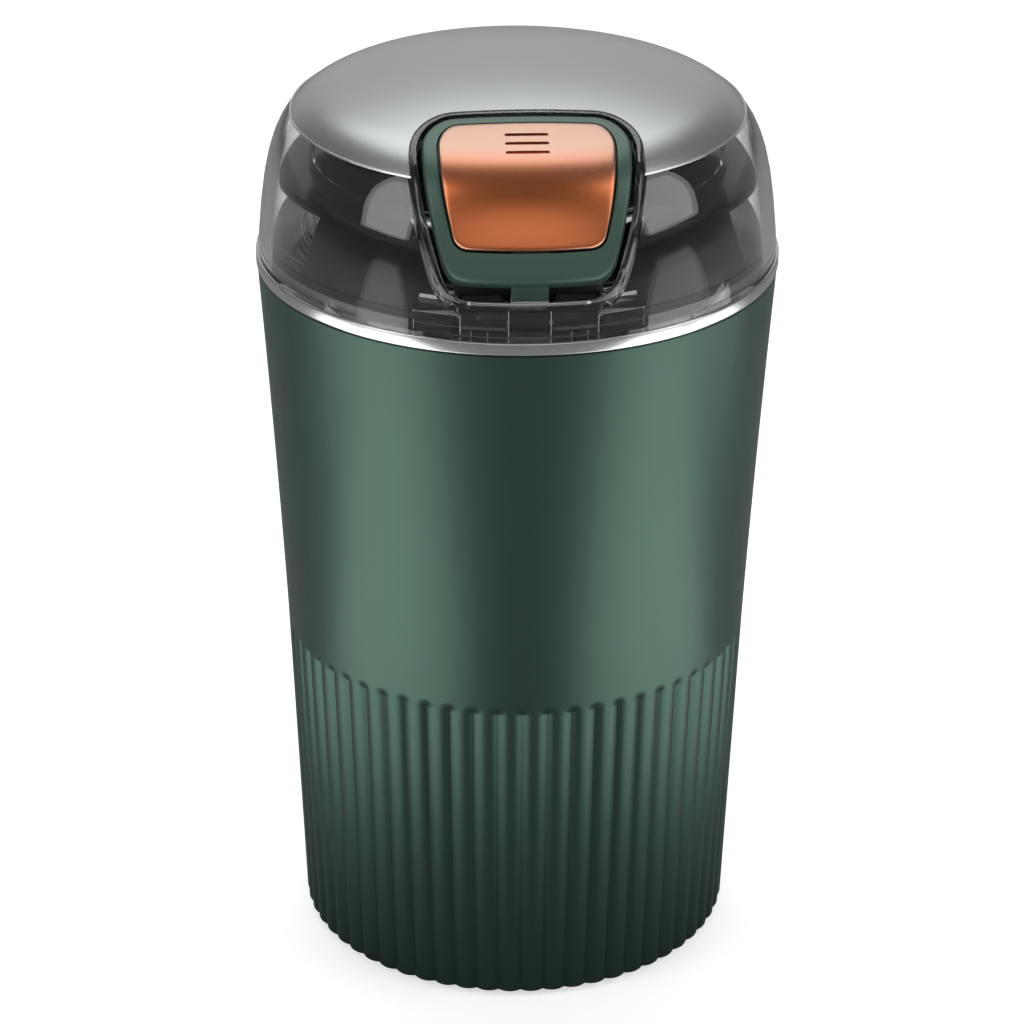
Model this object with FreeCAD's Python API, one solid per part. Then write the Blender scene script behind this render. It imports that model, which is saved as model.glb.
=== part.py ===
# Electric spice grinder: fluted housing with motor, steel bowl and blade, and a clear
# lid whose push lever closes the switch. Millimetres, +Z up, front towards -Y,
# origin on the table under the middle of the housing.
import FreeCAD, Part
import os
from math import asin, atan, cos, pi, radians, sin, sqrt, tan

V = FreeCAD.Vector
X_AXIS = V(1, 0, 0)
Y_AXIS = V(0, 1, 0)
Z_AXIS = V(0, 0, 1)
ORIGIN = V(0, 0, 0)

# General clearances and wall sections
slide_gap = 0.3
assembly_gap = 0.1
running_gap = 0.05
overlap = 0.4

# Housing: fluted cone below, smooth and slightly hollow-curved above
housing_bottom = 0.8
flute_top = 67.0
housing_knee = 68.0
housing_top = 141.6
housing_bottom_radius = 43.0
flute_flare = 2.65
housing_knee_radius = housing_bottom_radius + flute_flare
housing_top_radius = 50.0
housing_curve = 0.2
housing_wall = 2.6
housing_edge_bevel = 1.0
flute_count = 60
flute_depth = 0.85
flute_half_width = 2.0
flute_facets = 2
flute_end_facets = 4
flute_phase = -0.9

# Lugs inside the housing: the upper ones hold the bowl carrier, the lower ones the base
lug_count = 4
lug_start = 45.0
lug_half_width = 4.2
upper_lug_depth = 9.0
upper_lug_height = 8.0
lower_lug_depth = 9.0
lower_lug_height = 12.0
lug_screw_inset = 4.6
lug_root = 1.5

# Trim ring, a little proud of the housing's top edge
ring_proud = 0.2
ring_radius = housing_top_radius + ring_proud
ring_height = 2.5
ring_width = 5.2
ring_inner_radius = ring_radius - ring_width
ring_web = 0.8
ring_spigot_depth = 4.0
ring_spigot_wall = 0.8
ring_edge = 0.3

# Upstand of the bowl carrier, which comes up through the ring
upstand_gap = 0.2
upstand_wall = 1.8
upstand_outer = ring_inner_radius - upstand_gap
upstand_inner = upstand_outer - upstand_wall
upstand_top = housing_top + 5.0

# Bowl, and the black carrier that holds it
bowl_wall = 0.8
bowl_rim = housing_top + 4.4
bowl_depth = 38.0
bowl_corner = 9.0
bowl_bead = 0.7
bowl_neck_radius = 6.5
bowl_neck_height = 4.5
carrier_gap = 0.5
carrier_wall = 2.4
carrier_deck = housing_top + 1.0
carrier_flange = 3.0
carrier_floor = 2.6
carrier_seat_height = 2.0
carrier_seat_radius = 22.0
carrier_seat_width = 3.0
carrier_corner = 2.0
carrier_step = 2.1
guide_rail = 1.8
switch_tab = 2.0
switch_tab_margin = 1.0
spring_shelf_margin = 0.6

# Lid, whose outline is a leaning wall, a shoulder curve and a crown
lid_datum = housing_top + running_gap
lid_inset = 0.23
lid_foot_radius = ring_radius - lid_inset
lid_lean = 4.0
shoulder_rise = 22.9
shoulder_reach = 12.8
crown_inset = 15.57
crown_radius = lid_foot_radius - crown_inset
crown_edge_height = 34.5
crown_sag = 4.4
lid_wall = 2.6
cap_thickness = 1.1
cap_edge_inset = 6.92
cap_edge_radius = lid_foot_radius - cap_edge_inset
cap_edge_height = 29.8

# Push lever, copper pad and pocket; their outlines lie in a plane that leans back
# from the front of the lid's foot, and are cut out of the lid's skin across that plane
press_tilt = 45.0
outline_near = -7.5
outline_far = 40.0
lever_half_width = 19.0
lever_top = 44.03
lever_bottom = 10.53
lever_corner_width = 6.4
lever_corner_height = 8.2
lever_lower_corner = 4.5
lever_skin = 2.0
pad_half_width = 16.0
pad_top = 41.73
pad_bottom = 15.23
pad_corner_width = 3.7
pad_corner_height = 6.2
pad_lower_corner = 3.2
pad_depth = 1.1
pad_proud = 0.3
pad_gap = 0.3
side_curve = 68.0
bottom_bow = 1.0
pocket_side_gap = 0.9
pocket_top_gap = 0.7
pocket_bottom_gap = 2.4
pocket_lower_corner = 5.5
frame_side_wall = 1.3
frame_top_wall = 1.0
frame_bottom_wall = 0.9
frame_proud = 1.3
frame_crown_proud = 0.15
frame_depth = 4.4
frame_lower_corner = 6.3
grip_bar_count = 3
grip_bar_length = 8.0
grip_bar_width = 0.8
grip_bar_pitch = 2.4
grip_bar_place = 35.83
grip_bar_depth = 0.35

# Tongue of the lever and the guide block moulded into the lid's front
tongue_width = 7.1
tongue_inset = 2.47
tongue_front = lid_foot_radius - tongue_inset
tongue_thickness = 2.0
tongue_bottom = lid_datum + 4.25
tongue_top = lid_datum + 18.0
block_front = tongue_front + 0.4
block_depth = 3.3
block_chord = block_front - block_depth
block_top = lid_datum + 10.35
block_skirt = 1.0
block_rib = 0.9
chamber_half_width = 12.2
slot_gap = 0.85

# Pivot of the lever, measured from the axis and from the lid's datum
pivot_inset = 29.47
pivot_reach = lid_foot_radius - pivot_inset
pivot_height = 29.5
pivot_radius = 1.25
pivot_boss_radius = 2.8
arm_centre = 8.5
arm_width = 3.0
arm_length = 16.0
arm_rise = 8.0
arm_taper = 1.5

# Cradle under the lever
cradle_floor_bottom = 21.8
cradle_floor = 2.0
cradle_half_width = 17.4
cradle_wall = 1.2
cradle_back = pivot_reach - 15.5
cradle_apron_gap = 1.7
cradle_apron_front = block_chord - cradle_apron_gap
cradle_apron_half_width = 13.5
cradle_apron_bottom = 4.2
cradle_sink = 4.8
press_angle = 5.0
ear_centre = 12.6
ear_width = 2.4
ear_half_length = 2.8
cradle_screw_x = 13.0
cradle_screw_reach = pivot_reach - 11.0
cradle_boss_radius = 3.2
lever_spring_reach = pivot_reach + 12.5
lever_spring_radius = 2.8
lever_spring_wire = 0.8
spring_peg_height = 2.5
spring_boss_wall = 0.4
spring_boss_drop = 4.0

# Clear chamber cover inside the lid, with its gasket
cover_gap = 1.3
cover_draft = 3.5
cover_bottom = lid_datum + 1.55
cover_bottom_radius = upstand_inner - cover_gap
cover_top_radius = cover_bottom_radius - cover_draft
cover_top = lid_datum + 20.95
cover_wall = 2.2
cover_corner = 2.4
cover_inner_corner = 0.9
cover_flange_bottom = lid_datum + 6.05
cover_flange = 2.6
gasket_inner = upstand_inner - 0.1
gasket_outer = upstand_outer + 0.2
gasket_thickness = 0.8

# Motor
shaft_radius = 3.0
shaft_bottom = 19.5
shaft_step = 0.5
stator_half = 27.0
stator_corner = 5.0
stator_bottom = 50.0
stator_height = 22.0
stator_window = 21.4
pole_half_width = 9.0
pole_shoe = 2.0
pole_shoe_angle = 52.0
air_gap = 0.5
armature_radius = 15.5
armature_slots = 12
armature_slot_width = 2.0
armature_slot_depth = 4.5
winding_bar_width = 1.6
winding_depth = 4.3
winding_inset = 1.5
winding_overhang = 4.0
coil_section = 4.0
coil_gap = 0.35
tie_screw_place = 23.5
tie_screw_radius = 1.75
commutator_radius = 11.0
commutator_bottom = 33.0
commutator_height = 12.0
commutator_riser = 2.0
commutator_riser_step = 1.0
commutator_slit_width = 0.6
commutator_slit_depth = 0.8
fan_radius = 22.0
fan_bottom = 78.5
fan_height = 7.0
fan_blades = 9
fan_disc = 1.2
fan_hub = 3.0
fan_blade_thickness = 1.2
fan_blade_turn = 18.0
lower_bracket_bottom = 25.0
bracket_plate = 3.0
bracket_post_radius = 3.4
upper_bracket_bottom = 88.0
bearing_boss_radius = 8.0
bearing_boss_height = 7.0
bush_radius = 5.5
damper_radius = 4.5
damper_bore = 2.0
damper_place = 16.5
brush_width = 6.0
brush_height = 5.0
brush_length = 9.0
brush_spring_radius = 2.0
brush_spring_wire = 0.5
holder_wall = 1.0
holder_length = 17.0
holder_gap = 2.2
holder_foot_inset = 3.0
cutout_width = 9.0
cutout_thickness = 3.5
cutout_margin = 5.0

# Blade and what clamps it
blade_tip_gap = 5.2
blade_width = 11.0
blade_thickness = 1.5
blade_flat = 24.0
blade_wing_angle = 16.0
blade_low_wing_angle = 8.0
blade_tip_width = 6.8
blade_bevel = 2.5
blade_edge_height = 0.3
blade_height = 6.0
nut_radius = 5.0
nut_height = 4.0
washer_radius = 5.5
washer_thickness = 1.0

# Plunger and microswitch
plunger_width = 7.2
plunger_clearance = 1.2
plunger_thickness = 2.0
plunger_upstand_inset = 0.7
plunger_wall_gap = 0.4
plunger_head_inset = 1.1
plunger_head_outer = tongue_front - plunger_head_inset
plunger_head = 2.4
plunger_top = housing_top + 3.6
plunger_foot_bottom = 96.0
plunger_foot = 2.4
plunger_foot_width = 4.1
plunger_foot_left = -13.5
plunger_foot_right = 4.5
switch_centre = 4.0
switch_length = 19.8
switch_width = 6.4
switch_height = 10.6
switch_inset = 0.3
switch_top = 92.0
switch_ear_length = 1.6
switch_ear_thickness = 1.0
switch_ear_height = 1.6
switch_pivot_inset = 0.8
switch_pivot_height = 0.9
switch_pivot_radius = 0.4
switch_nub_width = 2.6
switch_nub_depth = 3.2
switch_nub_place = 8.0
switch_nub_height = 1.2
switch_nub_depth_inside = 1.8
switch_nub_well = 3.0
switch_lever_thickness = 0.5
switch_lever_length = 15.5
switch_lever_width = 4.0
switch_screw_spacing = 9.5
switch_screw_radius = 1.15
switch_screw_drop = 7.6
switch_screw_head_radius = 2.0
switch_screw_head = 1.2
switch_screw_bite = 2.0
terminal_blade_spacing = 7.0
terminal_blade_thickness = 0.8
terminal_blade_width = 4.8
terminal_blade_length = 6.5
plunger_spring_radius = 2.4
plunger_spring_wire = 0.6
plunger_spring_x = -10.0

# Base cover, feet, gland and the electrical parts above it
base_bottom = 1.4
base_thickness = 2.4
base_gap = 0.35
foot_radius = 5.5
foot_recess = 1.6
foot_taper = 0.6
foot_circle = 31.0
vent_count = 5
vent_length = 22.0
vent_width = 2.4
vent_pitch = 5.0
screw_radius = 1.5
screw_head_radius = 2.8
screw_head = 1.4
screw_bite = 8.0
gland_height = 10.0
gland_bore = 3.3
gland_radius = 5.2
gland_collar_radius = 7.0
gland_collar = 1.5
gland_proud = 2.2
gland_length = 13.0
saddle_half_width = 8.5
saddle_length = 5.0
board_length = 26.0
board_width = 16.0
board_thickness = 1.6
board_height = 9.0
board_post_radius = 2.0
board_centre = -22.0
board_post_inset = 0.5
bridge_length = 10.0
bridge_width = 6.0
bridge_height = 5.0
bridge_place = -4.0
capacitor_radius = 3.0
capacitor_height = 6.0
capacitor_place = 7.0
terminal_length = 20.0
terminal_width = 8.0
terminal_height = 9.0
terminal_y = 20.0
terminal_ways = 3
terminal_screw_hole = 1.6
terminal_screw_depth = 3.0
terminal_wire_hole = 2.6
terminal_wire_height = 3.0


def housing_radius(height):
    """Outer radius of the housing, without its flutes."""
    if height < housing_knee:
        share = (height - housing_bottom) / (housing_knee - housing_bottom)
        return housing_bottom_radius + share * (housing_knee_radius - housing_bottom_radius)
    share = (height - housing_knee) / (housing_top - housing_knee)
    straight = housing_knee_radius + share * (housing_top_radius - housing_knee_radius)
    return straight - housing_curve * 4 * share * (1 - share)


# Places worked out from the sizes above
ring_top = housing_top + ring_height
bowl_floor = bowl_rim - bowl_depth
seat_top = bowl_floor - bowl_wall
floor_top = seat_top - carrier_seat_height
floor_bottom = floor_top - carrier_floor
stator_top = stator_bottom + stator_height
upper_bracket_top = upper_bracket_bottom + bracket_plate
damper_top = floor_bottom
bush_bore = shaft_radius + running_gap
blade_bottom = bowl_floor + blade_height
nut_bottom = blade_bottom + blade_thickness
base_top = base_bottom + base_thickness
plunger_outer = min(upstand_outer - plunger_upstand_inset,
                    housing_radius(plunger_foot_bottom) - housing_wall - plunger_wall_gap)
plunger_inner = plunger_outer - plunger_thickness
carrier_outer = min(plunger_inner - plunger_clearance, upstand_inner - carrier_step)
carrier_inner = carrier_outer - carrier_wall
bowl_radius = carrier_inner - carrier_gap - bowl_wall
blade_length = 2 * (bowl_radius - blade_tip_gap)
switch_front = carrier_outer - switch_inset
plunger_foot_reach = switch_front - plunger_foot_width


def box(x0, x1, y0, y1, z0, z1):
    return Part.makeBox(x1 - x0, y1 - y0, z1 - z0, V(x0, y0, z0))


def cylinder(radius, bottom, top, x=0.0, y=0.0):
    return Part.makeCylinder(radius, top - bottom, V(x, y, bottom))


def tube(outer, inner, bottom, top, x=0.0, y=0.0):
    return cylinder(outer, bottom, top, x, y).cut(cylinder(inner, bottom - 1, top + 1, x, y))


def line(start, end):
    return Part.LineSegment(start, end).toShape()


def arc(start, middle, end):
    return Part.Arc(start, middle, end).toShape()


def bezier(poles):
    curve = Part.BezierCurve()
    curve.setPoles(poles)
    return curve.toShape()


def polygon(points):
    corners = [V(*point) for point in points]
    return Part.Wire([line(a, b) for a, b in zip(corners, corners[1:] + corners[:1])])


def turned(points):
    """A solid of revolution about Z from its half section, given as (radius, height)."""
    section = polygon([(radius, 0, height) for radius, height in points])
    return Part.Face(section).revolve(ORIGIN, Z_AXIS, 360)


def turned_edges(edges):
    return Part.Face(Part.Wire(edges)).revolve(ORIGIN, Z_AXIS, 360)


def plate_across_x(points, x0, x1):
    """A flat plate with its outline in the YZ plane, from x0 to x1."""
    outline = polygon([(x0, y, z) for y, z in points])
    return Part.Face(outline).extrude(V(x1 - x0, 0, 0))


def spun(shape, angle):
    copy = shape.copy()
    copy.rotate(ORIGIN, Z_AXIS, angle)
    return copy


def around(shape, count, start=0.0):
    return [spun(shape, start + 360.0 * index / count) for index in range(count)]


def mirrored_x(shape):
    return shape.mirror(ORIGIN, X_AXIS)


def fused(shapes):
    return shapes[0].multiFuse(shapes[1:]).removeSplitter()


def save(name, solids):
    shape = solids[0] if len(solids) == 1 else Part.makeCompound(solids)
    shape.exportStep("parts/" + name + ".step")


def housing_body(inset, bevel):
    """The housing's outside, or its inside where inset is the wall, as a full solid."""
    middle = (housing_knee + housing_top) / 2
    axis_low = V(0, 0, housing_bottom)
    axis_high = V(0, 0, housing_top)
    low = V(housing_bottom_radius - inset - bevel, 0, housing_bottom)
    bevel_end = V(housing_radius(housing_bottom + bevel) - inset, 0, housing_bottom + bevel)
    knee = V(housing_radius(housing_knee) - inset, 0, housing_knee)
    upper_end = V(housing_radius(housing_top) - inset, 0, housing_top)
    upper = arc(knee, V(housing_radius(middle) - inset, 0, middle), upper_end)
    lower = [line(axis_low, low), line(low, knee)]
    if bevel > 0:
        lower = [line(axis_low, low), line(low, bevel_end), line(bevel_end, knee)]
    return turned_edges(lower + [upper, line(upper_end, axis_high), line(axis_high, axis_low)])


def flute_cutter():
    """One groove with flanks in flat facets and an arched upper end, at the front."""
    rib_half = pi * housing_bottom_radius / flute_count
    flank = (rib_half ** 2 + flute_depth ** 2) / (2 * flute_depth)
    clear = 2.0
    run_out = 3.0
    length = (flute_top - flute_half_width - housing_bottom) / cos(flute_slope())
    profile = [(0, -flute_depth)]
    for step in range(1, flute_facets + 1):
        x = flute_half_width * step / flute_facets
        profile.append((x, sqrt(flank ** 2 - (rib_half - x) ** 2) - flank))
    profile.append((flute_half_width, clear))
    turns = [pi * step / flute_end_facets for step in range(flute_end_facets + 1)]
    right = [(x, y, -run_out) for x, y in profile]
    left = [(-x, y, -run_out) for x, y in profile]
    rays = [[(x * cos(turn), y, length + x * sin(turn)) for x, y in profile] for turn in turns]
    sections = [right] + rays + [left]
    faces = [right[::-1] + left[1:], [section[-1] for section in sections]]
    for near, far in zip(sections, sections[1:]):
        for index in range(len(profile) - 1):
            corners = [near[index], near[index + 1], far[index + 1], far[index]]
            if index == 0 and near is not right and far is not left:
                corners.pop()
            faces.append(corners)
    cutter = Part.Solid(Part.Shell([Part.Face(polygon(corners)) for corners in faces]))
    cutter.rotate(ORIGIN, Z_AXIS, 180)
    cutter.rotate(ORIGIN, X_AXIS, flute_slope() * 180 / pi)
    cutter.translate(V(0, -housing_bottom_radius, housing_bottom))
    return cutter


def flute_slope():
    return atan((housing_knee_radius - housing_bottom_radius) / (housing_knee - housing_bottom))


def lug(reach_from, reach_to, bottom, top):
    """Screw lug on the inside of the housing wall, pointing inwards along -Y."""
    return box(-lug_half_width, lug_half_width, -reach_from, -reach_to, bottom, top)


def upper_lug_screw_circle():
    return housing_radius(floor_bottom) - housing_wall - lug_screw_inset


def lower_lug_screw_circle():
    return housing_radius(base_top) - housing_wall - lug_screw_inset


def body_housing():
    outer = housing_body(0.0, housing_edge_bevel)
    inner = housing_body(housing_wall, 0)
    lugs = []
    for top, height, depth in ((floor_bottom, upper_lug_height, upper_lug_depth),
                               (base_top + lower_lug_height, lower_lug_height, lower_lug_depth)):
        wall_radius = housing_radius(top) - housing_wall
        stock = lug(wall_radius + lug_root, wall_radius - depth, top - height, top)
        lugs += around(stock, lug_count, lug_start)
    shell = outer.cut(inner)
    lug_stock = Part.makeCompound(lugs).common(outer)
    shell = shell.fuse(lug_stock.Solids)
    cutters = [spun(flute_cutter(), flute_phase + 360.0 * index / flute_count)
               for index in range(flute_count)]
    shell = shell.cut(Part.makeCompound(cutters))
    holes = []
    for circle, bottom, top in ((upper_lug_screw_circle(), floor_bottom - upper_lug_height, floor_bottom),
                                (lower_lug_screw_circle(), base_top, base_top + lower_lug_height)):
        hole = cylinder(screw_radius + assembly_gap, bottom - 1, top + 1, 0, -circle)
        holes += around(hole, lug_count, lug_start)
    notch = box(-gland_radius - assembly_gap, gland_radius + assembly_gap, 0, housing_bottom_radius + 5,
                housing_bottom - 1, gland_height)
    round_top = Part.makeCylinder(gland_radius + assembly_gap, housing_bottom_radius + 5,
                                  V(0, 0, gland_height), Y_AXIS)
    return shell.cut(Part.makeCompound(holes)).cut(notch.fuse(round_top))


def ring_spigot_radius():
    return housing_radius(housing_top - ring_spigot_depth) - housing_wall - slide_gap


def trim_ring():
    web_bottom = ring_top - ring_web
    spigot = ring_spigot_radius()
    spigot_end = housing_top - ring_spigot_depth
    section = [(ring_inner_radius, web_bottom), (ring_inner_radius, ring_top),
               (ring_radius - ring_edge, ring_top), (ring_radius, ring_top - ring_edge),
               (ring_radius, housing_top + ring_edge), (ring_radius - ring_edge, housing_top),
               (spigot, housing_top), (spigot, spigot_end), (spigot - ring_spigot_wall, spigot_end),
               (spigot - ring_spigot_wall, web_bottom)]
    return turned(section).cut(plunger_channel())


def plunger_channel():
    """Passage for the plunger's head through the ring, carrier flange and upstand."""
    half = plunger_width / 2 + slide_gap
    return box(-half, half, -plunger_head_outer - slide_gap, -plunger_inner + slide_gap,
               carrier_deck - carrier_flange - 1, bowl_rim + 1)


def grinding_bowl():
    outer_radius = bowl_radius + bowl_wall
    bottom = seat_top
    bead = bowl_bead
    inner_corner = bowl_corner - bowl_wall
    diagonal = sqrt(0.5)
    corner_centre_r = outer_radius - bowl_corner
    corner_centre_z = bottom + bowl_corner
    outer_low = V(corner_centre_r, 0, bottom)
    outer_middle = V(corner_centre_r + bowl_corner * diagonal, 0, corner_centre_z - bowl_corner * diagonal)
    outer_high = V(outer_radius, 0, corner_centre_z)
    inner_low = V(corner_centre_r, 0, bowl_floor)
    inner_middle = V(corner_centre_r + inner_corner * diagonal, 0, corner_centre_z - inner_corner * diagonal)
    inner_high = V(bowl_radius, 0, corner_centre_z)
    neck_outer = bowl_neck_radius + bowl_wall
    neck_top = bowl_floor + bowl_neck_height
    rim_outer = V(outer_radius + bead, 0, bowl_rim)
    rim_under = V(outer_radius + bead, 0, bowl_rim - 2 * bead)
    points = [V(outer_radius, 0, bowl_rim - 2 * bead), rim_under, rim_outer, V(bowl_radius, 0, bowl_rim),
              inner_high]
    edges = [arc(outer_low, outer_middle, outer_high), line(outer_high, points[0])]
    edges += [line(a, b) for a, b in zip(points, points[1:])]
    edges.append(arc(inner_high, inner_middle, inner_low))
    neck = [inner_low, V(neck_outer, 0, bowl_floor), V(neck_outer, 0, neck_top),
            V(bowl_neck_radius, 0, neck_top), V(bowl_neck_radius, 0, bottom), outer_low]
    edges += [line(a, b) for a, b in zip(neck, neck[1:])]
    return turned_edges(edges)


def shaft_seal():
    bottom = floor_top
    top = bowl_floor + bowl_neck_height
    outer = bowl_neck_radius - assembly_gap
    flange = bearing_boss_radius + 2
    section = [(shaft_radius + running_gap, bottom + 1), (shaft_radius + running_gap, top - 1),
               (shaft_radius + 1, top), (outer, top), (outer, seat_top), (flange, seat_top),
               (flange, bottom), (shaft_radius + 1, bottom)]
    return turned(section)


def bowl_carrier():
    flange_bottom = carrier_deck - carrier_flange
    flange_radius = ring_spigot_radius() - ring_spigot_wall - slide_gap
    seat_inner = carrier_seat_radius - carrier_seat_width / 2
    seat_outer = carrier_seat_radius + carrier_seat_width / 2
    hub = bearing_boss_radius + assembly_gap
    floor_outer = housing_radius(floor_bottom) - housing_wall - slide_gap
    floor_lip = floor_bottom + carrier_floor
    section = [(hub, floor_bottom), (floor_outer, floor_bottom), (floor_outer, floor_lip),
               (carrier_outer, floor_lip), (carrier_outer, flange_bottom), (flange_radius, flange_bottom),
               (flange_radius, carrier_deck), (upstand_outer, carrier_deck), (upstand_outer, upstand_top),
               (upstand_inner, upstand_top), (upstand_inner, carrier_deck), (carrier_inner, carrier_deck),
               (carrier_inner, floor_top + carrier_corner), (carrier_inner - carrier_corner, floor_top),
               (seat_outer, floor_top), (seat_outer, seat_top), (seat_inner, seat_top),
               (seat_inner, floor_top), (hub, floor_top)]
    body = turned(section)
    rail_in = carrier_outer - overlap
    rail_out = plunger_outer - assembly_gap
    rail_left = plunger_width / 2 + slide_gap
    rail = box(rail_left, rail_left + guide_rail, -rail_out, -rail_in, floor_lip, flange_bottom)
    tab_front = switch_front - switch_width
    tab_left = plunger_foot_left - switch_tab_margin
    tab_right = switch_centre + switch_length / 2 + switch_tab_margin
    tab_bottom = switch_top - switch_height - switch_tab / 2
    tab = box(tab_left, tab_right, -tab_front, -tab_front + switch_tab, tab_bottom, floor_bottom)
    shelf = box(tab_left, plunger_spring_x + plunger_spring_radius + spring_shelf_margin,
                -switch_front, -tab_front, tab_bottom, spring_shelf_top())
    body = fused([body, rail, mirrored_x(rail), tab, shelf])
    front_half = cradle_apron_half_width + slide_gap
    front_gap = box(-front_half, front_half, -upstand_outer - 1, 0, carrier_deck, upstand_top + 1)
    rod_half = plunger_width / 2 + slide_gap
    rod_path = box(-rod_half, rod_half, -plunger_outer - slide_gap, -plunger_inner + slide_gap,
                   floor_bottom - 1, flange_bottom + 1)
    cuts = [front_gap, plunger_channel(), rod_path]
    hole = cylinder(screw_radius + assembly_gap, floor_bottom - 1, floor_lip + 1,
                    0, -upper_lug_screw_circle())
    cuts += around(hole, lug_count, lug_start)
    damper_hole = cylinder(screw_radius + assembly_gap, floor_bottom - 1, floor_lip + 1, damper_place, 0)
    cuts += around(damper_hole, 4, 45.0)
    for x in switch_screw_places():
        cuts.append(Part.makeCylinder(switch_screw_radius + assembly_gap, 4,
                                      V(x, -tab_front - 1, switch_top - switch_screw_drop), Y_AXIS))
    return body.cut(Part.makeCompound(cuts))


def spring_shelf_top():
    return switch_top - switch_height + switch_tab / 2


def switch_screw_places():
    return [switch_centre - switch_screw_spacing / 2, switch_centre + switch_screw_spacing / 2]


def carrier_screws():
    """Screws up through the housing's upper lugs into the carrier floor."""
    bottom = floor_bottom - upper_lug_height
    return around(screw_up(0, -upper_lug_screw_circle(), bottom, floor_bottom + carrier_floor),
                  lug_count, lug_start)


def screw_up(x, y, seat, tip, radius=screw_radius):
    """A screw whose head bears upwards on a face at the height seat."""
    head = cylinder(screw_head_radius, seat - screw_head, seat, x, y)
    shank = cylinder(radius, seat - overlap, tip, x, y)
    return head.fuse(shank).removeSplitter()


def lid_curve(foot_offset, crown_offset):
    """Lid outline as edges from foot to crown, offset inwards by the two amounts."""
    lean = radians(lid_lean)
    crown_slope = asin(2 * crown_radius * crown_sag / (crown_radius ** 2 + crown_sag ** 2))
    foot = V(lid_foot_radius - foot_offset * cos(lean), 0, lid_datum - foot_offset * sin(lean))
    shoulder = V(crown_radius - crown_offset * sin(crown_slope), 0,
                 lid_datum + crown_edge_height - crown_offset * cos(crown_slope))
    shrink = 1 - (foot_offset + crown_offset) / 2 * (pi / 2 - lean - crown_slope) / (shoulder_rise * 1.75)
    rise = shoulder_rise * shrink
    reach = shoulder_reach * shrink
    poles = [foot, foot + V(-rise * sin(lean), 0, rise * cos(lean)),
             shoulder + V(reach * cos(crown_slope), 0, -reach * sin(crown_slope)), shoulder]
    top = V(0, 0, lid_datum + crown_edge_height + crown_sag - crown_offset)
    half_slope = crown_slope / 2
    sphere = (crown_radius ** 2 + crown_sag ** 2) / (2 * crown_sag) - crown_offset
    middle = V(sphere * sin(half_slope), 0, top.z - sphere * (1 - cos(half_slope)))
    return foot, [bezier(poles), arc(shoulder, middle, top)], top


def lid_body(foot_offset, crown_offset=None, bottom=None):
    """Full solid under the lid outline, down to a flat bottom."""
    crown = foot_offset if crown_offset is None else crown_offset
    foot, curve, top = lid_curve(foot_offset, crown)
    base = V(0, 0, foot.z)
    solid = turned_edges([line(base, foot)] + curve + [line(top, base)])
    level = ring_top if bottom is None else bottom
    if level <= foot.z:
        return solid
    return solid.cut(cylinder(lid_foot_radius + 10, foot.z - 5, level))


def lid_radius(height, inset=0.0):
    """Radius of the lid wall below the shoulder, at a height above the table."""
    return lid_foot_radius - inset - (height - lid_datum) * tan(radians(lid_lean))


def shield(half_width, top, bottom, corner_width, corner_height, lower_corner):
    """Outline of lever, pad or pocket in its own plane, wide above and narrower below."""
    shoulder_v = top - corner_height
    corner_v = bottom + lower_corner
    turn = asin((shoulder_v - corner_v) / side_curve)
    side_x = half_width - side_curve * (1 - cos(turn))
    end_x = side_x - lower_corner
    bow = bottom_bow * (end_x / 12.0) ** 2
    lean = 2 * atan(bow / end_x)
    middle_turn = turn / 2
    side_middle = V(half_width - side_curve * (1 - cos(middle_turn)),
                    shoulder_v - side_curve * sin(middle_turn), 0)
    start = V(side_x, corner_v, 0)
    end = V(end_x, bottom + bow, 0)
    along = V(-sin(turn), -cos(turn), 0)
    back = V(cos(lean), sin(lean), 0)
    cross = along.x * back.y - along.y * back.x
    gap = end - start
    reach = (gap.x * back.y - gap.y * back.x) / cross
    knee = start + along * reach
    swing = 0.5523
    top_end = V(half_width - corner_width, top, 0)
    shoulder = V(half_width, shoulder_v, 0)
    right = [bezier([top_end, top_end + V(corner_width * swing, 0, 0),
                     shoulder + V(0, corner_height * swing, 0), shoulder]),
             arc(shoulder, side_middle, start),
             bezier([start, knee, end])]
    left = [mirrored_x(edge) for edge in right]
    top_edge = line(V(-top_end.x, top, 0), top_end)
    low_edge = arc(end, V(0, bottom, 0), V(-end.x, end.y, 0))
    return Part.Wire(Part.__sortEdges__([top_edge] + right + [low_edge] + left))


def leaned(shape):
    """Moves a shape from the plane of the outlines to its place on the lid."""
    shape.rotate(ORIGIN, X_AXIS, press_tilt)
    shape.translate(V(0, -lid_foot_radius, lid_datum))
    return shape


def shield_prism(wire):
    prism = Part.Face(wire).extrude(V(0, 0, outline_far - outline_near))
    prism.translate(V(0, 0, outline_near))
    return leaned(prism)


def lever_prism():
    return shield_prism(shield(lever_half_width, lever_top, lever_bottom, lever_corner_width,
                               lever_corner_height, lever_lower_corner))


def pad_prism(grow=0.0):
    return shield_prism(shield(pad_half_width + grow, pad_top + grow, pad_bottom - grow,
                               pad_corner_width + grow, pad_corner_height + grow, pad_lower_corner + grow))


def pocket_prism():
    side = pocket_side_gap
    return shield_prism(shield(lever_half_width + side, lever_top + pocket_top_gap,
                               lever_bottom - pocket_bottom_gap, lever_corner_width + side,
                               lever_corner_height + side, pocket_lower_corner))


def frame_prism(grow=0.0):
    side = pocket_side_gap + frame_side_wall + grow
    return shield_prism(shield(lever_half_width + side, lever_top + pocket_top_gap + frame_top_wall + grow,
                               lever_bottom - pocket_bottom_gap - frame_bottom_wall - grow,
                               lever_corner_width + side, lever_corner_height + side,
                               frame_lower_corner + grow))


def cap_zone(radius_gap=0.0):
    """Cone that opens upwards and cuts the lid's skin squarely at the cap's edge."""
    apex = lid_datum + cap_edge_height - cap_edge_radius - radius_gap * sqrt(2)
    height = 2 * cap_edge_radius
    return Part.makeCone(0, height, height, V(0, 0, apex))


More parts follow.
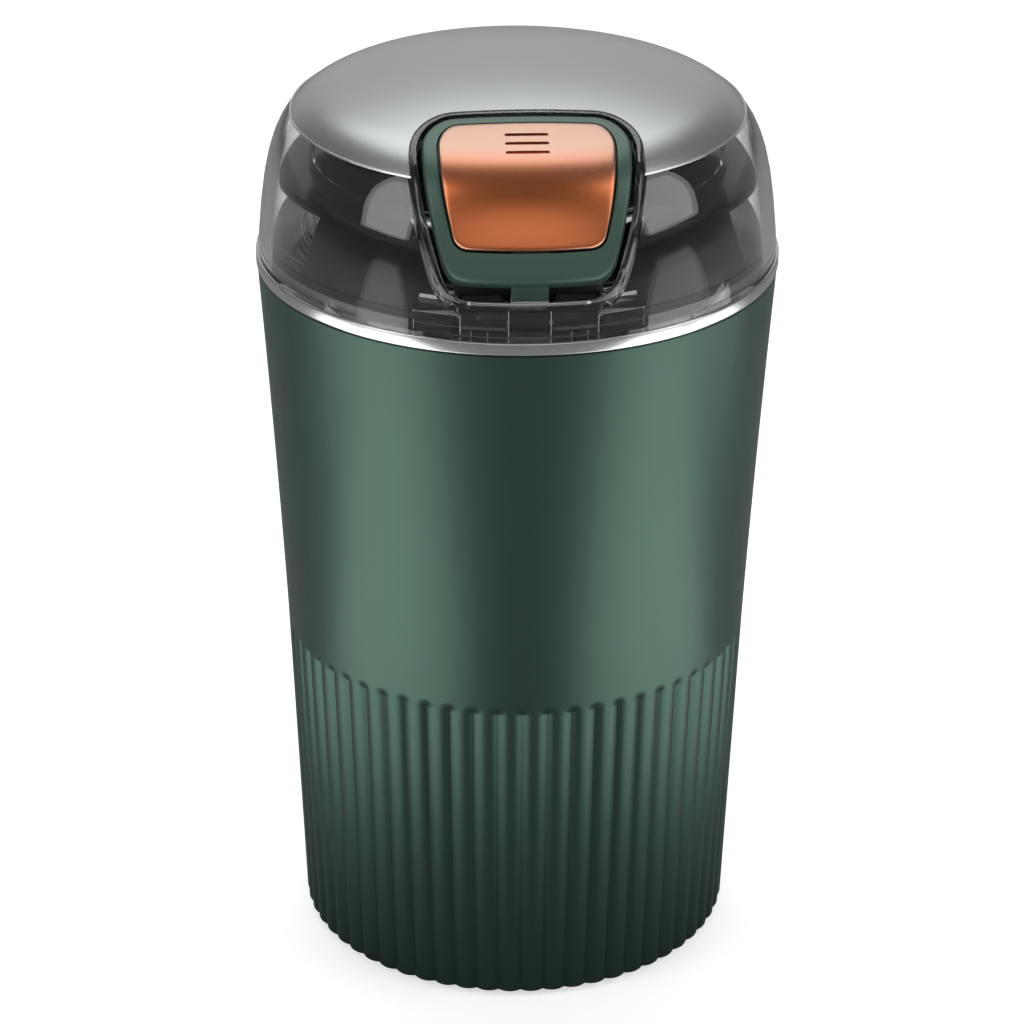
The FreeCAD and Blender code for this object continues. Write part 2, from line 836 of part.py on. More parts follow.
def lid_shell():
    outside = lid_body(0)
    inside = lid_body(lid_wall)
    recess = lid_body(-2).cut(lid_body(cap_thickness)).common(cap_zone(assembly_gap))
    shell = outside.cut(inside).cut(recess)
    frame = frame_prism().common(lid_body(-frame_proud, -frame_crown_proud)).cut(lid_body(frame_depth))
    frame = frame.cut(cylinder(ring_radius, lid_datum, block_top - block_skirt))
    half = sqrt(lid_radius(block_top) ** 2 - block_chord ** 2)
    block = box(-half, half, -lid_radius(ring_top), -block_chord, ring_top, block_top)
    block = block.common(lid_body(overlap))
    shell = fused([shell, frame, block])
    slot = tongue_width / 2 + slot_gap
    inner = -block_chord + 1
    chambers = [box(-slot, slot, -block_front, inner, ring_top - 1, block_top + 1)]
    chamber = box(slot + block_rib, chamber_half_width, -block_front, inner, ring_top - 1, block_top + 1)
    chambers += [chamber, mirrored_x(chamber)]
    shell = shell.cut(Part.makeCompound(chambers)).cut(pocket_prism())
    bosses = []
    for x in (-cradle_screw_x, cradle_screw_x):
        boss = cylinder(cradle_boss_radius, lid_datum + cradle_floor_bottom + cradle_floor,
                        lid_datum + crown_edge_height + crown_sag, x, -cradle_screw_reach)
        boss = boss.common(lid_body(lid_wall - overlap))
        pilot = cylinder(screw_radius + assembly_gap, lid_datum, lid_datum + cradle_floor_bottom + screw_bite,
                         x, -cradle_screw_reach)
        bosses.append(boss.cut(pilot))
    return fused([shell] + bosses)


def top_cap():
    skin = lid_body(0).cut(lid_body(cap_thickness)).common(cap_zone())
    return skin.cut(frame_prism(assembly_gap))


def chamber_cover():
    flange_top = cover_flange_bottom + cover_flange
    slope = (cover_bottom_radius - cover_top_radius) / (cover_top - cover_corner - cover_bottom)
    at_flange = cover_bottom_radius - slope * (cover_flange_bottom - cover_bottom)
    above_flange = cover_bottom_radius - slope * (flange_top - cover_bottom)
    flange_low = lid_radius(cover_flange_bottom, lid_wall + assembly_gap)
    flange_high = lid_radius(flange_top, lid_wall + assembly_gap)
    section = [(cover_bottom_radius, cover_bottom), (at_flange, cover_flange_bottom),
               (flange_low, cover_flange_bottom), (flange_high, flange_top), (above_flange, flange_top),
               (cover_top_radius, cover_top - cover_corner), (cover_top_radius - cover_corner, cover_top),
               (0, cover_top), (0, cover_top - cover_wall),
               (cover_top_radius - cover_corner - cover_inner_corner, cover_top - cover_wall),
               (cover_top_radius - cover_wall, cover_top - cover_corner - cover_inner_corner),
               (cover_bottom_radius - cover_wall, cover_bottom)]
    cover = turned(section)
    apron = cradle_apron_half_width + slide_gap
    notch_back = cradle_apron_front - cradle_wall - slide_gap
    notch = box(-apron, apron, -lid_foot_radius, -notch_back, cover_flange_bottom - 1, flange_top + 1)
    trim = box(-lid_foot_radius, lid_foot_radius, -lid_foot_radius, -block_chord + slide_gap,
               cover_flange_bottom - 1, flange_top + 1)
    return cover.cut(notch).cut(trim)


def lid_gasket():
    top = cover_flange_bottom
    gasket = tube(gasket_outer, gasket_inner, top - gasket_thickness, top)
    apron = cradle_apron_half_width + slide_gap
    return gasket.cut(box(-apron, apron, -gasket_outer - 1, 0, top - gasket_thickness - 1, top + 1))


def pivot_point(x=0.0):
    return V(x, -pivot_reach, lid_datum + pivot_height)


def bar_along_x(radius, x0, x1, centre):
    return Part.makeCylinder(radius, x1 - x0, V(x0, centre.y, centre.z), X_AXIS)


def under_pressed_lever():
    """Space that the lever's skin leaves free when it is pressed right down."""
    space = lid_body(lever_skin + slide_gap)
    space.rotate(pivot_point(), X_AXIS, press_angle)
    return space


def button_cradle():
    bottom = lid_datum + cradle_floor_bottom
    top = bottom + cradle_floor
    apron_back = cradle_apron_front - cradle_wall
    half = cradle_half_width
    plate = box(-half, half, -apron_back - overlap, -cradle_back, bottom, top)
    ceiling = lid_body(cradle_sink).common(under_pressed_lever())
    plate = plate.common(ceiling)
    apron = box(-cradle_apron_half_width, cradle_apron_half_width, -cradle_apron_front, -apron_back,
                lid_datum + cradle_apron_bottom, top).common(under_pressed_lever())
    pieces = [plate, apron]
    cheek = box(half - cradle_wall, half, -apron_back, -pivot_reach, bottom, lid_datum + crown_edge_height)
    cheek = cheek.common(ceiling)
    ear_x = ear_centre - ear_width / 2
    ear = box(ear_x, ear_x + ear_width, -pivot_reach - ear_half_length, -pivot_reach + ear_half_length,
              bottom, lid_datum + pivot_height)
    ear = ear.fuse(bar_along_x(ear_half_length, ear_x, ear_x + ear_width, pivot_point()))
    peg = cylinder(lever_spring_radius - lever_spring_wire - assembly_gap, top - overlap,
                   top + spring_peg_height, 0, -lever_spring_reach)
    pieces += [cheek, mirrored_x(cheek), ear, mirrored_x(ear), peg]
    body = fused(pieces)
    cuts = [bar_along_x(pivot_radius + assembly_gap / 2, -half, half, pivot_point())]
    for x in (-cradle_screw_x, cradle_screw_x):
        cuts.append(cylinder(screw_radius + assembly_gap, bottom - 1, top + 1, x, -cradle_screw_reach))
        cuts.append(cylinder(screw_head_radius + assembly_gap, bottom - 1, bottom + cradle_floor / 2,
                             x, -cradle_screw_reach))
    return body.cut(Part.makeCompound(cuts))


def cradle_screws():
    seat = lid_datum + cradle_floor_bottom + cradle_floor / 2
    tip = lid_datum + cradle_floor_bottom + screw_bite - 1
    screws = []
    for x in (-cradle_screw_x, cradle_screw_x):
        head = cylinder(screw_head_radius, seat - cradle_floor / 2, seat, x, -cradle_screw_reach)
        shank = cylinder(screw_radius, seat - overlap, tip, x, -cradle_screw_reach)
        screws.append(head.fuse(shank).removeSplitter())
    return screws


def hinge_pin():
    half = ear_centre + ear_width / 2 + assembly_gap
    return bar_along_x(pivot_radius, -half, half, pivot_point())


def spring_boss_bottom():
    return lid_datum + crown_edge_height - spring_boss_drop


def button_spring():
    bottom = lid_datum + cradle_floor_bottom + cradle_floor
    return tube(lever_spring_radius, lever_spring_radius - lever_spring_wire, bottom, spring_boss_bottom(),
                0, -lever_spring_reach)


def button_lever():
    skin = lever_prism().common(lid_body(0)).cut(lid_body(lever_skin))
    under = lid_body(lever_skin - overlap)
    tongue = box(-tongue_width / 2, tongue_width / 2, -tongue_front, -tongue_front + tongue_thickness,
                 tongue_bottom, tongue_top).common(under)
    pivot = pivot_point()
    rear = -pivot_reach
    low = pivot.z - pivot_boss_radius
    high = pivot.z + arm_rise
    arm = plate_across_x([(rear, low), (rear, pivot.z + pivot_boss_radius), (rear - arm_length / 4, high),
                          (rear - arm_length, high), (rear - arm_length, low + arm_taper)],
                         arm_centre - arm_width / 2, arm_centre + arm_width / 2)
    arm = arm.common(under).common(arm_limit())
    eye = bar_along_x(pivot_boss_radius, arm_centre - arm_width / 2, arm_centre + arm_width / 2, pivot)
    arm = arm.fuse(eye)
    boss = cylinder(lever_spring_radius + spring_boss_wall, spring_boss_bottom(),
                    lid_datum + crown_edge_height, 0, -lever_spring_reach).common(under)
    body = fused([skin, tongue, arm, mirrored_x(arm), boss])
    body = body.cut(bar_along_x(pivot_radius + running_gap, -lever_half_width, lever_half_width, pivot))
    recess = pad_prism(pad_gap).cut(lid_body(pad_depth))
    return body.cut(recess)


def arm_limit():
    """Keeps the arms behind the rear edge of the pocket clear of the lid's crown."""
    limit = box(-lever_half_width, lever_half_width, lever_bottom, lever_top, -lid_foot_radius, outline_far)
    ahead = leaned(limit)
    behind = box(-lever_half_width, lever_half_width, -pivot_reach - 2 * pivot_boss_radius, 0, lid_datum,
                 lid_datum + pivot_height + pivot_boss_radius)
    return ahead.fuse(behind)


def button_pad():
    pad = pad_prism().common(lid_body(-pad_proud)).cut(lid_body(pad_depth))
    bars = []
    for index in range(grip_bar_count):
        v = grip_bar_place - (index - (grip_bar_count - 1) / 2) * grip_bar_pitch
        bar = box(-grip_bar_length / 2, grip_bar_length / 2, v - grip_bar_width / 2, v + grip_bar_width / 2,
                  outline_near, outline_far)
        bars.append(leaned(bar))
    engraving = Part.makeCompound(bars).cut(lid_body(grip_bar_depth - pad_proud))
    return pad.cut(engraving)


def motor_shaft():
    shoulder = blade_bottom - washer_thickness
    body = cylinder(shaft_radius, shaft_bottom, shoulder)
    tip = cylinder(shaft_radius - shaft_step, shoulder, nut_bottom + nut_height - 1)
    return body.fuse(tip).removeSplitter()


def armature_core():
    core = tube(armature_radius, bush_bore, stator_bottom, stator_top)
    half = armature_slot_width / 2
    slot = box(-half, half, armature_radius - armature_slot_depth, armature_radius + 1,
               stator_bottom - 1, stator_top + 1)
    return core.cut(Part.makeCompound(around(slot, armature_slots)))


def armature_windings():
    outer = armature_radius - winding_inset
    inner = bush_bore + winding_inset
    low_end = tube(outer, inner, stator_bottom - winding_overhang, stator_bottom - assembly_gap)
    high_end = tube(outer, inner, stator_top + assembly_gap, stator_top + winding_overhang)
    bar = box(-winding_bar_width / 2, winding_bar_width / 2, armature_radius - winding_depth, outer,
              stator_bottom - 1, stator_top + 1)
    return fused([low_end, high_end] + around(bar, armature_slots))


def commutator():
    top = commutator_bottom + commutator_height
    body = tube(commutator_radius, bush_bore, commutator_bottom, top)
    riser = tube(commutator_radius + commutator_riser_step, bush_bore, top - commutator_riser, top)
    half = commutator_slit_width / 2
    slit = box(-half, half, commutator_radius - commutator_slit_depth,
               commutator_radius + commutator_riser_step + 1, commutator_bottom - 1, top + 1)
    return body.fuse(riser).removeSplitter().cut(Part.makeCompound(around(slit, armature_slots)))


def cooling_fan():
    disc_top = fan_bottom + fan_disc
    disc = tube(fan_radius, bush_bore, fan_bottom, disc_top)
    hub = tube(shaft_radius + fan_hub, bush_bore, fan_bottom, fan_bottom + fan_height)
    half = fan_blade_thickness / 2
    blade = box(-half, half, shaft_radius + fan_hub + 2, fan_radius - 0.5, disc_top - overlap,
                fan_bottom + fan_height)
    blade.rotate(V(0, fan_radius / 2, 0), Z_AXIS, fan_blade_turn)
    return fused([disc, hub] + around(blade, fan_blades))


def stator_core():
    half = stator_half
    frame = box(-half, half, -half, half, stator_bottom, stator_top)
    corners = [edge for edge in frame.Edges if edge.BoundBox.ZLength > stator_height / 2]
    frame = frame.makeFillet(stator_corner, corners)
    window = stator_window
    frame = frame.cut(box(-window, window, -window, window, stator_bottom - 1, stator_top + 1))
    bore = armature_radius + air_gap
    shoe = tube(bore + pole_shoe, bore, stator_bottom, stator_top)
    spread = (bore + pole_shoe) * sin(radians(pole_shoe_angle))
    inner = (bore + pole_shoe) * cos(radians(pole_shoe_angle))
    shoe = shoe.common(box(-spread, spread, inner, half, stator_bottom, stator_top))
    neck = box(-pole_half_width, pole_half_width, bore + pole_shoe / 2, window + overlap,
               stator_bottom, stator_top)
    pole = shoe.fuse(neck)
    body = fused([frame, pole, spun(pole, 180)])
    body = body.cut(cylinder(bore, stator_bottom - 1, stator_top + 1))
    return body.cut(Part.makeCompound(tie_holes(stator_bottom - 1, stator_top + 1)))


def tie_holes(bottom, top):
    hole = cylinder(tie_screw_radius + assembly_gap, bottom, top, tie_screw_place, tie_screw_place)
    return around(hole, 4)


def field_coils():
    """Two coils, each a rectangular ring round a pole's neck."""
    inner = pole_half_width + coil_gap
    outer = inner + coil_section
    near = armature_radius + air_gap + pole_shoe + coil_gap
    far = stator_window - coil_gap
    coil = box(-outer, outer, near, far, stator_bottom - coil_gap - coil_section,
               stator_top + coil_gap + coil_section)
    corners = [edge for edge in coil.Edges if edge.BoundBox.YLength > (far - near) / 2]
    coil = coil.makeFillet(coil_section * 0.8, corners)
    coil = coil.cut(box(-inner, inner, near - 1, far + 1, stator_bottom - coil_gap, stator_top + coil_gap))
    return [coil, spun(coil, 180)]


def bracket_cross(bottom):
    reach = tie_screw_place * sqrt(2) + bracket_post_radius
    arm = box(-reach, reach, -damper_radius, damper_radius, bottom, bottom + bracket_plate)
    return [spun(arm, 45), spun(arm, -45)]


def upper_bracket():
    posts = [cylinder(bracket_post_radius, stator_top, upper_bracket_bottom + overlap,
                      x * tie_screw_place, y * tie_screw_place) for x in (-1, 1) for y in (-1, 1)]
    boss = cylinder(bearing_boss_radius, upper_bracket_bottom, upper_bracket_bottom + bearing_boss_height)
    body = fused(bracket_cross(upper_bracket_bottom) + posts + [boss])
    cuts = tie_holes(stator_top - 1, upper_bracket_top + 1)
    mount = cylinder(screw_radius + assembly_gap, upper_bracket_bottom - 1, upper_bracket_top + 1,
                     damper_place, 0)
    cuts += around(mount, 4, 45.0)
    cuts.append(cylinder(bush_radius + assembly_gap / 2, upper_bracket_bottom - 1,
                         upper_bracket_bottom + bearing_boss_height + 1))
    return body.cut(Part.makeCompound(cuts))


def lower_bracket():
    top = lower_bracket_bottom + bracket_plate
    posts = [cylinder(bracket_post_radius, top - overlap, stator_bottom,
                      x * tie_screw_place, y * tie_screw_place) for x in (-1, 1) for y in (-1, 1)]
    boss = cylinder(bearing_boss_radius, top - bearing_boss_height, top)
    rail = box(-holder_end(), holder_end(), -brush_width / 2 - holder_wall, brush_width / 2 + holder_wall,
               lower_bracket_bottom, top)
    body = fused(bracket_cross(lower_bracket_bottom) + posts + [boss, rail])
    cuts = tie_holes(lower_bracket_bottom - 1, stator_bottom + 1)
    cuts.append(cylinder(bush_radius + assembly_gap / 2, top - bearing_boss_height - 1, top + 1))
    return body.cut(Part.makeCompound(cuts))


def bush(bottom):
    return tube(bush_radius, bush_bore, bottom, bottom + bearing_boss_height)


def upper_bush():
    return bush(upper_bracket_bottom)


def lower_bush():
    return bush(lower_bracket_bottom + bracket_plate - bearing_boss_height)


def brush_level():
    return commutator_bottom + (commutator_height - commutator_riser) / 2


def holder_start():
    return commutator_radius + holder_gap


def holder_end():
    return holder_start() + holder_length


def brush_holders():
    """Two square tubes on feet, closed at their outer ends."""
    half_y = brush_width / 2 + assembly_gap
    half_z = brush_height / 2 + assembly_gap
    wall = holder_wall
    level = brush_level()
    bottom = lower_bracket_bottom + bracket_plate
    body = box(holder_start(), holder_end(), -half_y - wall, half_y + wall,
               level - half_z - wall, level + half_z + wall)
    foot = box(holder_start() + holder_foot_inset, holder_end(), -half_y - wall, half_y + wall, bottom,
               level - half_z - wall + overlap)
    channel = box(holder_start() - 1, holder_end() - wall, -half_y, half_y, level - half_z, level + half_z)
    holder = body.fuse(foot).removeSplitter().cut(channel)
    return [holder, spun(holder, 180)]


def carbon_brushes():
    start = commutator_radius + slide_gap
    brush = box(start, start + brush_length, -brush_width / 2, brush_width / 2,
                brush_level() - brush_height / 2, brush_level() + brush_height / 2)
    return [brush, spun(brush, 180)]


def brush_springs():
    start = commutator_radius + slide_gap + brush_length
    end = holder_end() - holder_wall
    place = V(start, 0, brush_level())
    spring = Part.makeCylinder(brush_spring_radius, end - start, place, X_AXIS)
    inside = Part.makeCylinder(brush_spring_radius - brush_spring_wire, end - start + 2,
                               place - V(1, 0, 0), X_AXIS)
    spring = spring.cut(inside)
    return [spring, spun(spring, 180)]


def motor_screws():
    screws = []
    for x in (-tie_screw_place, tie_screw_place):
        for y in (-tie_screw_place, tie_screw_place):
            screws.append(screw_up(x, y, lower_bracket_bottom, upper_bracket_top, tie_screw_radius))
    return screws


def rubber_dampers():
    return around(tube(damper_radius, damper_bore, upper_bracket_top, damper_top, damper_place, 0), 4, 45.0)


def damper_screws():
    return around(screw_up(damper_place, 0, upper_bracket_bottom, floor_top), 4, 45.0)


def thermal_cutout():
    half = cutout_width / 2
    return box(-half, half, stator_half, stator_half + cutout_thickness,
               stator_bottom + cutout_margin, stator_top - cutout_margin)


def blade_washer():
    return tube(washer_radius, shaft_radius - shaft_step + running_gap,
                blade_bottom - washer_thickness, blade_bottom)


def blade_nut():
    body = tube(nut_radius, shaft_radius - shaft_step + running_gap, nut_bottom, nut_bottom + nut_height)
    across = nut_radius * cos(radians(30))
    for index in range(6):
        body = body.cut(spun(box(across, nut_radius + 1, -nut_radius, nut_radius,
                                 nut_bottom - 1, nut_bottom + nut_height + 1), 60 * index))
    return body


def blade_wing(angle):
    """One sharpened wing, bent up from the flat middle by the angle."""
    length = (blade_length - blade_flat) / 2
    half = blade_width / 2
    tip = blade_tip_width / 2
    section = [(-half, 0), (half, 0), (half, blade_edge_height), (half - blade_bevel, blade_thickness),
               (-half, blade_thickness)]
    bar = plate_across_x(section, -overlap, length)
    plan = Part.Face(polygon([(-overlap, -half, 0), (0, -half, 0), (length, -tip, 0), (length, tip, 0),
                              (0, half, 0), (-overlap, half, 0)]))
    wing = bar.common(plan.extrude(V(0, 0, blade_thickness)))
    wing.rotate(ORIGIN, Y_AXIS, -angle)
    wing.translate(V(blade_flat / 2, 0, blade_bottom))
    return wing


def grinding_blade():
    """A flat bar with one wing bent up and the other bent down, each with a sharpened edge."""
    flat = box(-blade_flat / 2, blade_flat / 2, -blade_width / 2, blade_width / 2,
               blade_bottom, blade_bottom + blade_thickness)
    body = fused([flat, blade_wing(blade_wing_angle), spun(blade_wing(-blade_low_wing_angle), 180)])
    return body.cut(cylinder(shaft_radius - shaft_step + running_gap, blade_bottom - 1, nut_bottom + 1))


def plunger():
    half = plunger_width / 2
    foot_top = plunger_foot_bottom + plunger_foot
    rod = box(-half, half, -plunger_outer, -plunger_inner, plunger_foot_bottom, plunger_top)
    head = box(-half, half, -plunger_head_outer, -plunger_inner, plunger_top - plunger_head, plunger_top)
    neck = box(-half, half, -plunger_outer, -plunger_foot_reach, plunger_foot_bottom, foot_top)
    foot = box(plunger_foot_left, plunger_foot_right, -switch_front, -plunger_foot_reach,
               plunger_foot_bottom, foot_top)
    return fused([rod, head, neck, foot])


def plunger_spring():
    y = -(switch_front + plunger_foot_reach) / 2
    return tube(plunger_spring_radius, plunger_spring_radius - plunger_spring_wire,
                spring_shelf_top(), plunger_foot_bottom, plunger_spring_x, y)


def switch_pivot():
    return V(switch_centre + switch_length / 2 - switch_pivot_inset, -switch_front,
             switch_top + switch_pivot_height)


def microswitch_case():
    left = switch_centre - switch_length / 2
    right = switch_centre + switch_length / 2
    back = -switch_front + switch_width
    body = box(left, right, -switch_front, back, switch_top - switch_height, switch_top)
    ear_left = right - switch_ear_length
    ear_top = switch_top + switch_ear_height
    ears = [box(ear_left, right, -switch_front, switch_ear_thickness - switch_front, switch_top - 1, ear_top),
            box(ear_left, right, back - switch_ear_thickness, back, switch_top - 1, ear_top)]
    body = fused([body] + ears)
    nub_half_x = switch_nub_width / 2 + assembly_gap
    nub_half_y = switch_nub_depth / 2 + assembly_gap
    middle = -switch_front + switch_width / 2
    cuts = [box(switch_nub_place - nub_half_x, switch_nub_place + nub_half_x, middle - nub_half_y,
                middle + nub_half_y, switch_top - switch_nub_well, switch_top + 1)]
    pivot = switch_pivot()
    cuts.append(Part.makeCylinder(switch_pivot_radius + assembly_gap, switch_width + 2,
                                  pivot - V(0, 1, 0), Y_AXIS))
    for x in switch_screw_places():
        cuts.append(Part.makeCylinder(switch_screw_radius + assembly_gap, switch_width + 2,
                                      V(x, -switch_front - 1, switch_top - switch_screw_drop), Y_AXIS))
    return body.cut(Part.makeCompound(cuts))


def switch_nub():
    middle = -switch_front + switch_width / 2
    return box(switch_nub_place - switch_nub_width / 2, switch_nub_place + switch_nub_width / 2,
               middle - switch_nub_depth / 2, middle + switch_nub_depth / 2,
               switch_top - switch_nub_depth_inside, switch_top + switch_nub_height)


def switch_lever():
    pivot = switch_pivot()
    middle = -switch_front + switch_width / 2
    tip_top = plunger_foot_bottom - slide_gap
    half = switch_lever_thickness / 2
    rise = tip_top - half - pivot.z
    run = sqrt(switch_lever_length ** 2 - rise ** 2)
    strip = polygon([(pivot.x, 0, pivot.z - half), (pivot.x, 0, pivot.z + half),
                     (pivot.x - run, 0, pivot.z + rise + half), (pivot.x - run, 0, pivot.z + rise - half)])
    strip = Part.Face(strip).extrude(V(0, switch_lever_width, 0))
    strip.translate(V(0, middle - switch_lever_width / 2, 0))
    pin_half = switch_width / 2 - 2 * assembly_gap
    pin = Part.makeCylinder(switch_pivot_radius, 2 * pin_half, V(pivot.x, middle - pin_half, pivot.z), Y_AXIS)
    return strip.fuse(pin).removeSplitter()


def switch_screws():
    z = switch_top - switch_screw_drop
    length = switch_width + switch_screw_bite
    screws = []
    for x in switch_screw_places():
        head = Part.makeCylinder(switch_screw_head_radius, switch_screw_head,
                                 V(x, -switch_front - switch_screw_head, z), Y_AXIS)
        shank = Part.makeCylinder(switch_screw_radius, length, V(x, -switch_front - overlap, z), Y_AXIS)
        screws.append(head.fuse(shank).removeSplitter())
    return screws


def switch_terminals():
    top = switch_top - switch_height
    middle = -switch_front + switch_width / 2
    half_x = terminal_blade_thickness / 2
    half_y = terminal_blade_width / 2
    places = [switch_centre + step * terminal_blade_spacing for step in (-1, 0, 1)]
    return [box(x - half_x, x + half_x, middle - half_y, middle + half_y, top - terminal_blade_length, top)
            for x in places]


def base_radius():
    return housing_radius(base_bottom) - housing_wall - base_gap


def foot_places():
    return [(foot_circle * cos(radians(a)), foot_circle * sin(radians(a))) for a in (0, 90, 180, 270)]


def gland_face():
    """Outer face of the housing wall where the gland passes through it."""
    return housing_radius(gland_height)


def gland_collar_front():
    """Face of the gland's collar that lies against the inside of the wall."""
    return sqrt((gland_face() - housing_wall) ** 2 - gland_collar_radius ** 2) - slide_gap


def board_posts():
    inset = board_post_radius + board_post_inset
    return [(x * (board_length / 2 - inset), board_centre + y * (board_width / 2 - inset))
            for x in (-1, 1) for y in (-1, 1)]


def base_cover():
    body = cylinder(base_radius(), base_bottom, base_top)
    saddle_end = gland_collar_front() - gland_collar - slide_gap
    saddle = box(-saddle_half_width, saddle_half_width, saddle_end - saddle_length, saddle_end,
                 base_top - overlap, gland_height)
    pieces = [body, saddle]
    for x, y in board_posts():
        pieces.append(cylinder(board_post_radius, base_top - overlap, base_top + board_height, x, y))
    body = fused(pieces)
    cuts = [Part.makeCylinder(gland_radius + assembly_gap, saddle_end, V(0, 0, gland_height), Y_AXIS)]
    circle = lower_lug_screw_circle()
    cuts += around(cylinder(screw_radius + assembly_gap, base_bottom - 1, base_top + 1, 0, -circle),
                   lug_count, lug_start)
    cuts += around(cylinder(screw_head_radius + assembly_gap, base_bottom - 1, base_bottom + screw_head,
                            0, -circle), lug_count, lug_start)
    for x, y in foot_places():
        cuts.append(cylinder(foot_radius + assembly_gap, base_bottom - 1, base_bottom + foot_recess, x, y))
    for index in range(vent_count):
        y = (index - (vent_count - 1) / 2) * vent_pitch
        cuts.append(box(-vent_length / 2, vent_length / 2, y - vent_width / 2, y + vent_width / 2,
                        base_bottom - 1, base_top + 1))
    return body.cut(Part.makeCompound(cuts))


def base_screws():
    seat = base_bottom + screw_head
    return around(screw_up(0, -lower_lug_screw_circle(), seat, base_top + screw_bite), lug_count, lug_start)


def rubber_feet():
    feet = []
    for x, y in foot_places():
        stem = cylinder(foot_radius, base_bottom, base_bottom + foot_recess, x, y)
        sole = Part.makeCone(foot_radius - foot_taper, foot_radius, base_bottom, V(x, y, 0))
        feet.append(stem.fuse(sole).removeSplitter())
    return feet


def cord_gland():
    """Bush that fills the slot in the housing wall, with the cord's bore along Y."""
    end = gland_face() + gland_proud
    wall_inside = gland_collar_front()
    barrel = Part.makeCylinder(gland_radius, gland_length, V(0, end - gland_length, gland_height), Y_AXIS)
    key = box(-gland_radius, gland_radius, wall_inside - gland_collar, end, housing_bottom + slide_gap,
              gland_height)
    collar = Part.makeCylinder(gland_collar_radius, gland_collar,
                               V(0, wall_inside - gland_collar, gland_height), Y_AXIS)
    collar = collar.cut(cylinder(ring_radius, 0, base_top + assembly_gap))
    key = key.cut(cylinder(base_radius() + assembly_gap, 0, base_top + assembly_gap))
    body = fused([barrel, key, collar])
    return body.cut(Part.makeCylinder(gland_bore, gland_length + 2,
                                      V(0, end - gland_length - 1, gland_height), Y_AXIS))


def rectifier_board():
    level = base_top + board_height
    half = board_length / 2
    board = box(-half, half, board_centre - board_width / 2, board_centre + board_width / 2,
                level, level + board_thickness)
    top = level + board_thickness
    bridge = box(bridge_place - bridge_length / 2, bridge_place + bridge_length / 2,
                 board_centre - bridge_width / 2, board_centre + bridge_width / 2, top, top + bridge_height)
    capacitor = cylinder(capacitor_radius, top, top + capacitor_height, capacitor_place, board_centre)
    return [board, bridge, capacitor]


def terminal_block():
    half = terminal_length / 2
    body = box(-half, half, terminal_y - terminal_width / 2, terminal_y + terminal_width / 2,
               base_top, base_top + terminal_height)
    pitch = terminal_length / terminal_ways
    for index in range(terminal_ways):
        x = (index - (terminal_ways - 1) / 2) * pitch
        top = base_top + terminal_height
        body = body.cut(cylinder(terminal_screw_hole, top - terminal_screw_depth, top + 1, x, terminal_y))
        wire = terminal_wire_hole / 2
        level = base_top + terminal_wire_height
        body = body.cut(box(x - wire, x + wire, terminal_y - terminal_width, terminal_y + terminal_width,
                            level - wire, level + wire))
    return body


single_parts = [body_housing, trim_ring, bowl_carrier, grinding_bowl, shaft_seal,
                motor_shaft, armature_core, armature_windings, commutator, cooling_fan,
                stator_core, upper_bracket, lower_bracket, upper_bush, lower_bush, thermal_cutout,
                blade_washer, grinding_blade, blade_nut,
                plunger, plunger_spring, microswitch_case, switch_nub, switch_lever,
                base_cover, cord_gland, terminal_block,
                lid_shell, top_cap, chamber_cover, lid_gasket, button_cradle, hinge_pin, button_spring,
                button_lever, button_pad]
grouped_parts = [carrier_screws, field_coils, brush_holders, carbon_brushes, brush_springs,
                 motor_screws, rubber_dampers, damper_screws, switch_screws, switch_terminals,
                 base_screws, rubber_feet, rectifier_board, cradle_screws]


def main():
    os.makedirs("parts", exist_ok=True)
    for make in single_parts:
        save(make.__name__, [make()])
    for make in grouped_parts:
        save(make.__name__, make())


if __name__ == "__main__":
    main()
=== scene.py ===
from math import asin, atan, cos, pi, radians, sin, sqrt, tan

import bpy
import numpy as np
from mathutils import Matrix, Vector


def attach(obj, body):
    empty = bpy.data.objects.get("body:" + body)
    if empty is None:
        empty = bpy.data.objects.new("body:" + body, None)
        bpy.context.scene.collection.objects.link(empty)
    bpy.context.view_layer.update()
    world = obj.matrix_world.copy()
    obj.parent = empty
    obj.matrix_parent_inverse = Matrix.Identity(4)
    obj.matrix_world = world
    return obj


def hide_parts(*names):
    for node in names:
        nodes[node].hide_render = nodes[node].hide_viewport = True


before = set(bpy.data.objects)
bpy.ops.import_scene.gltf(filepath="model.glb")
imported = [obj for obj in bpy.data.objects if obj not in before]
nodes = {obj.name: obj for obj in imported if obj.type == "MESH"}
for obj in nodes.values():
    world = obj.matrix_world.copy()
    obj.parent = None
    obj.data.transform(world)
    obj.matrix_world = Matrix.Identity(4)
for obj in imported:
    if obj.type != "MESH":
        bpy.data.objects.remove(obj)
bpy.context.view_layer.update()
mm = 0.001
beyond = 60  # further out than any wall, for blocks that cut
within = 40  # further in than the lid's wall at the lever


# Colours and shader nodes

def linearColour(hexText, alpha=1.0):
    # sRGB hex to linear
    values = [int(hexText[i:i + 2], 16) / 255 for i in (1, 3, 5)]
    linear = [v / 12.92 if v <= 0.04045 else ((v + 0.055) / 1.055) ** 2.4 for v in values]
    return (*linear, alpha)


def addNode(tree, kind, links=None, values=None, **settings):
    node = tree.nodes.new(kind)
    for name, value in settings.items():
        setattr(node, name, value)
    for name, value in (values or {}).items():
        node.inputs[name].default_value = value
    for name, source in (links or {}).items():
        tree.links.new(source, node.inputs[name])
    return node


def clearedTree(owner):
    # node tree of a material or world, without its nodes
    owner.use_nodes = True
    owner.node_tree.nodes.clear()
    return owner.node_tree


def newMaterial(name):
    material = bpy.data.materials.new(name)
    tree = clearedTree(material)
    output = addNode(tree, "ShaderNodeOutputMaterial")
    surface = addNode(tree, "ShaderNodeBsdfPrincipled")
    tree.links.new(surface.outputs["BSDF"], output.inputs["Surface"])
    return material, tree, surface


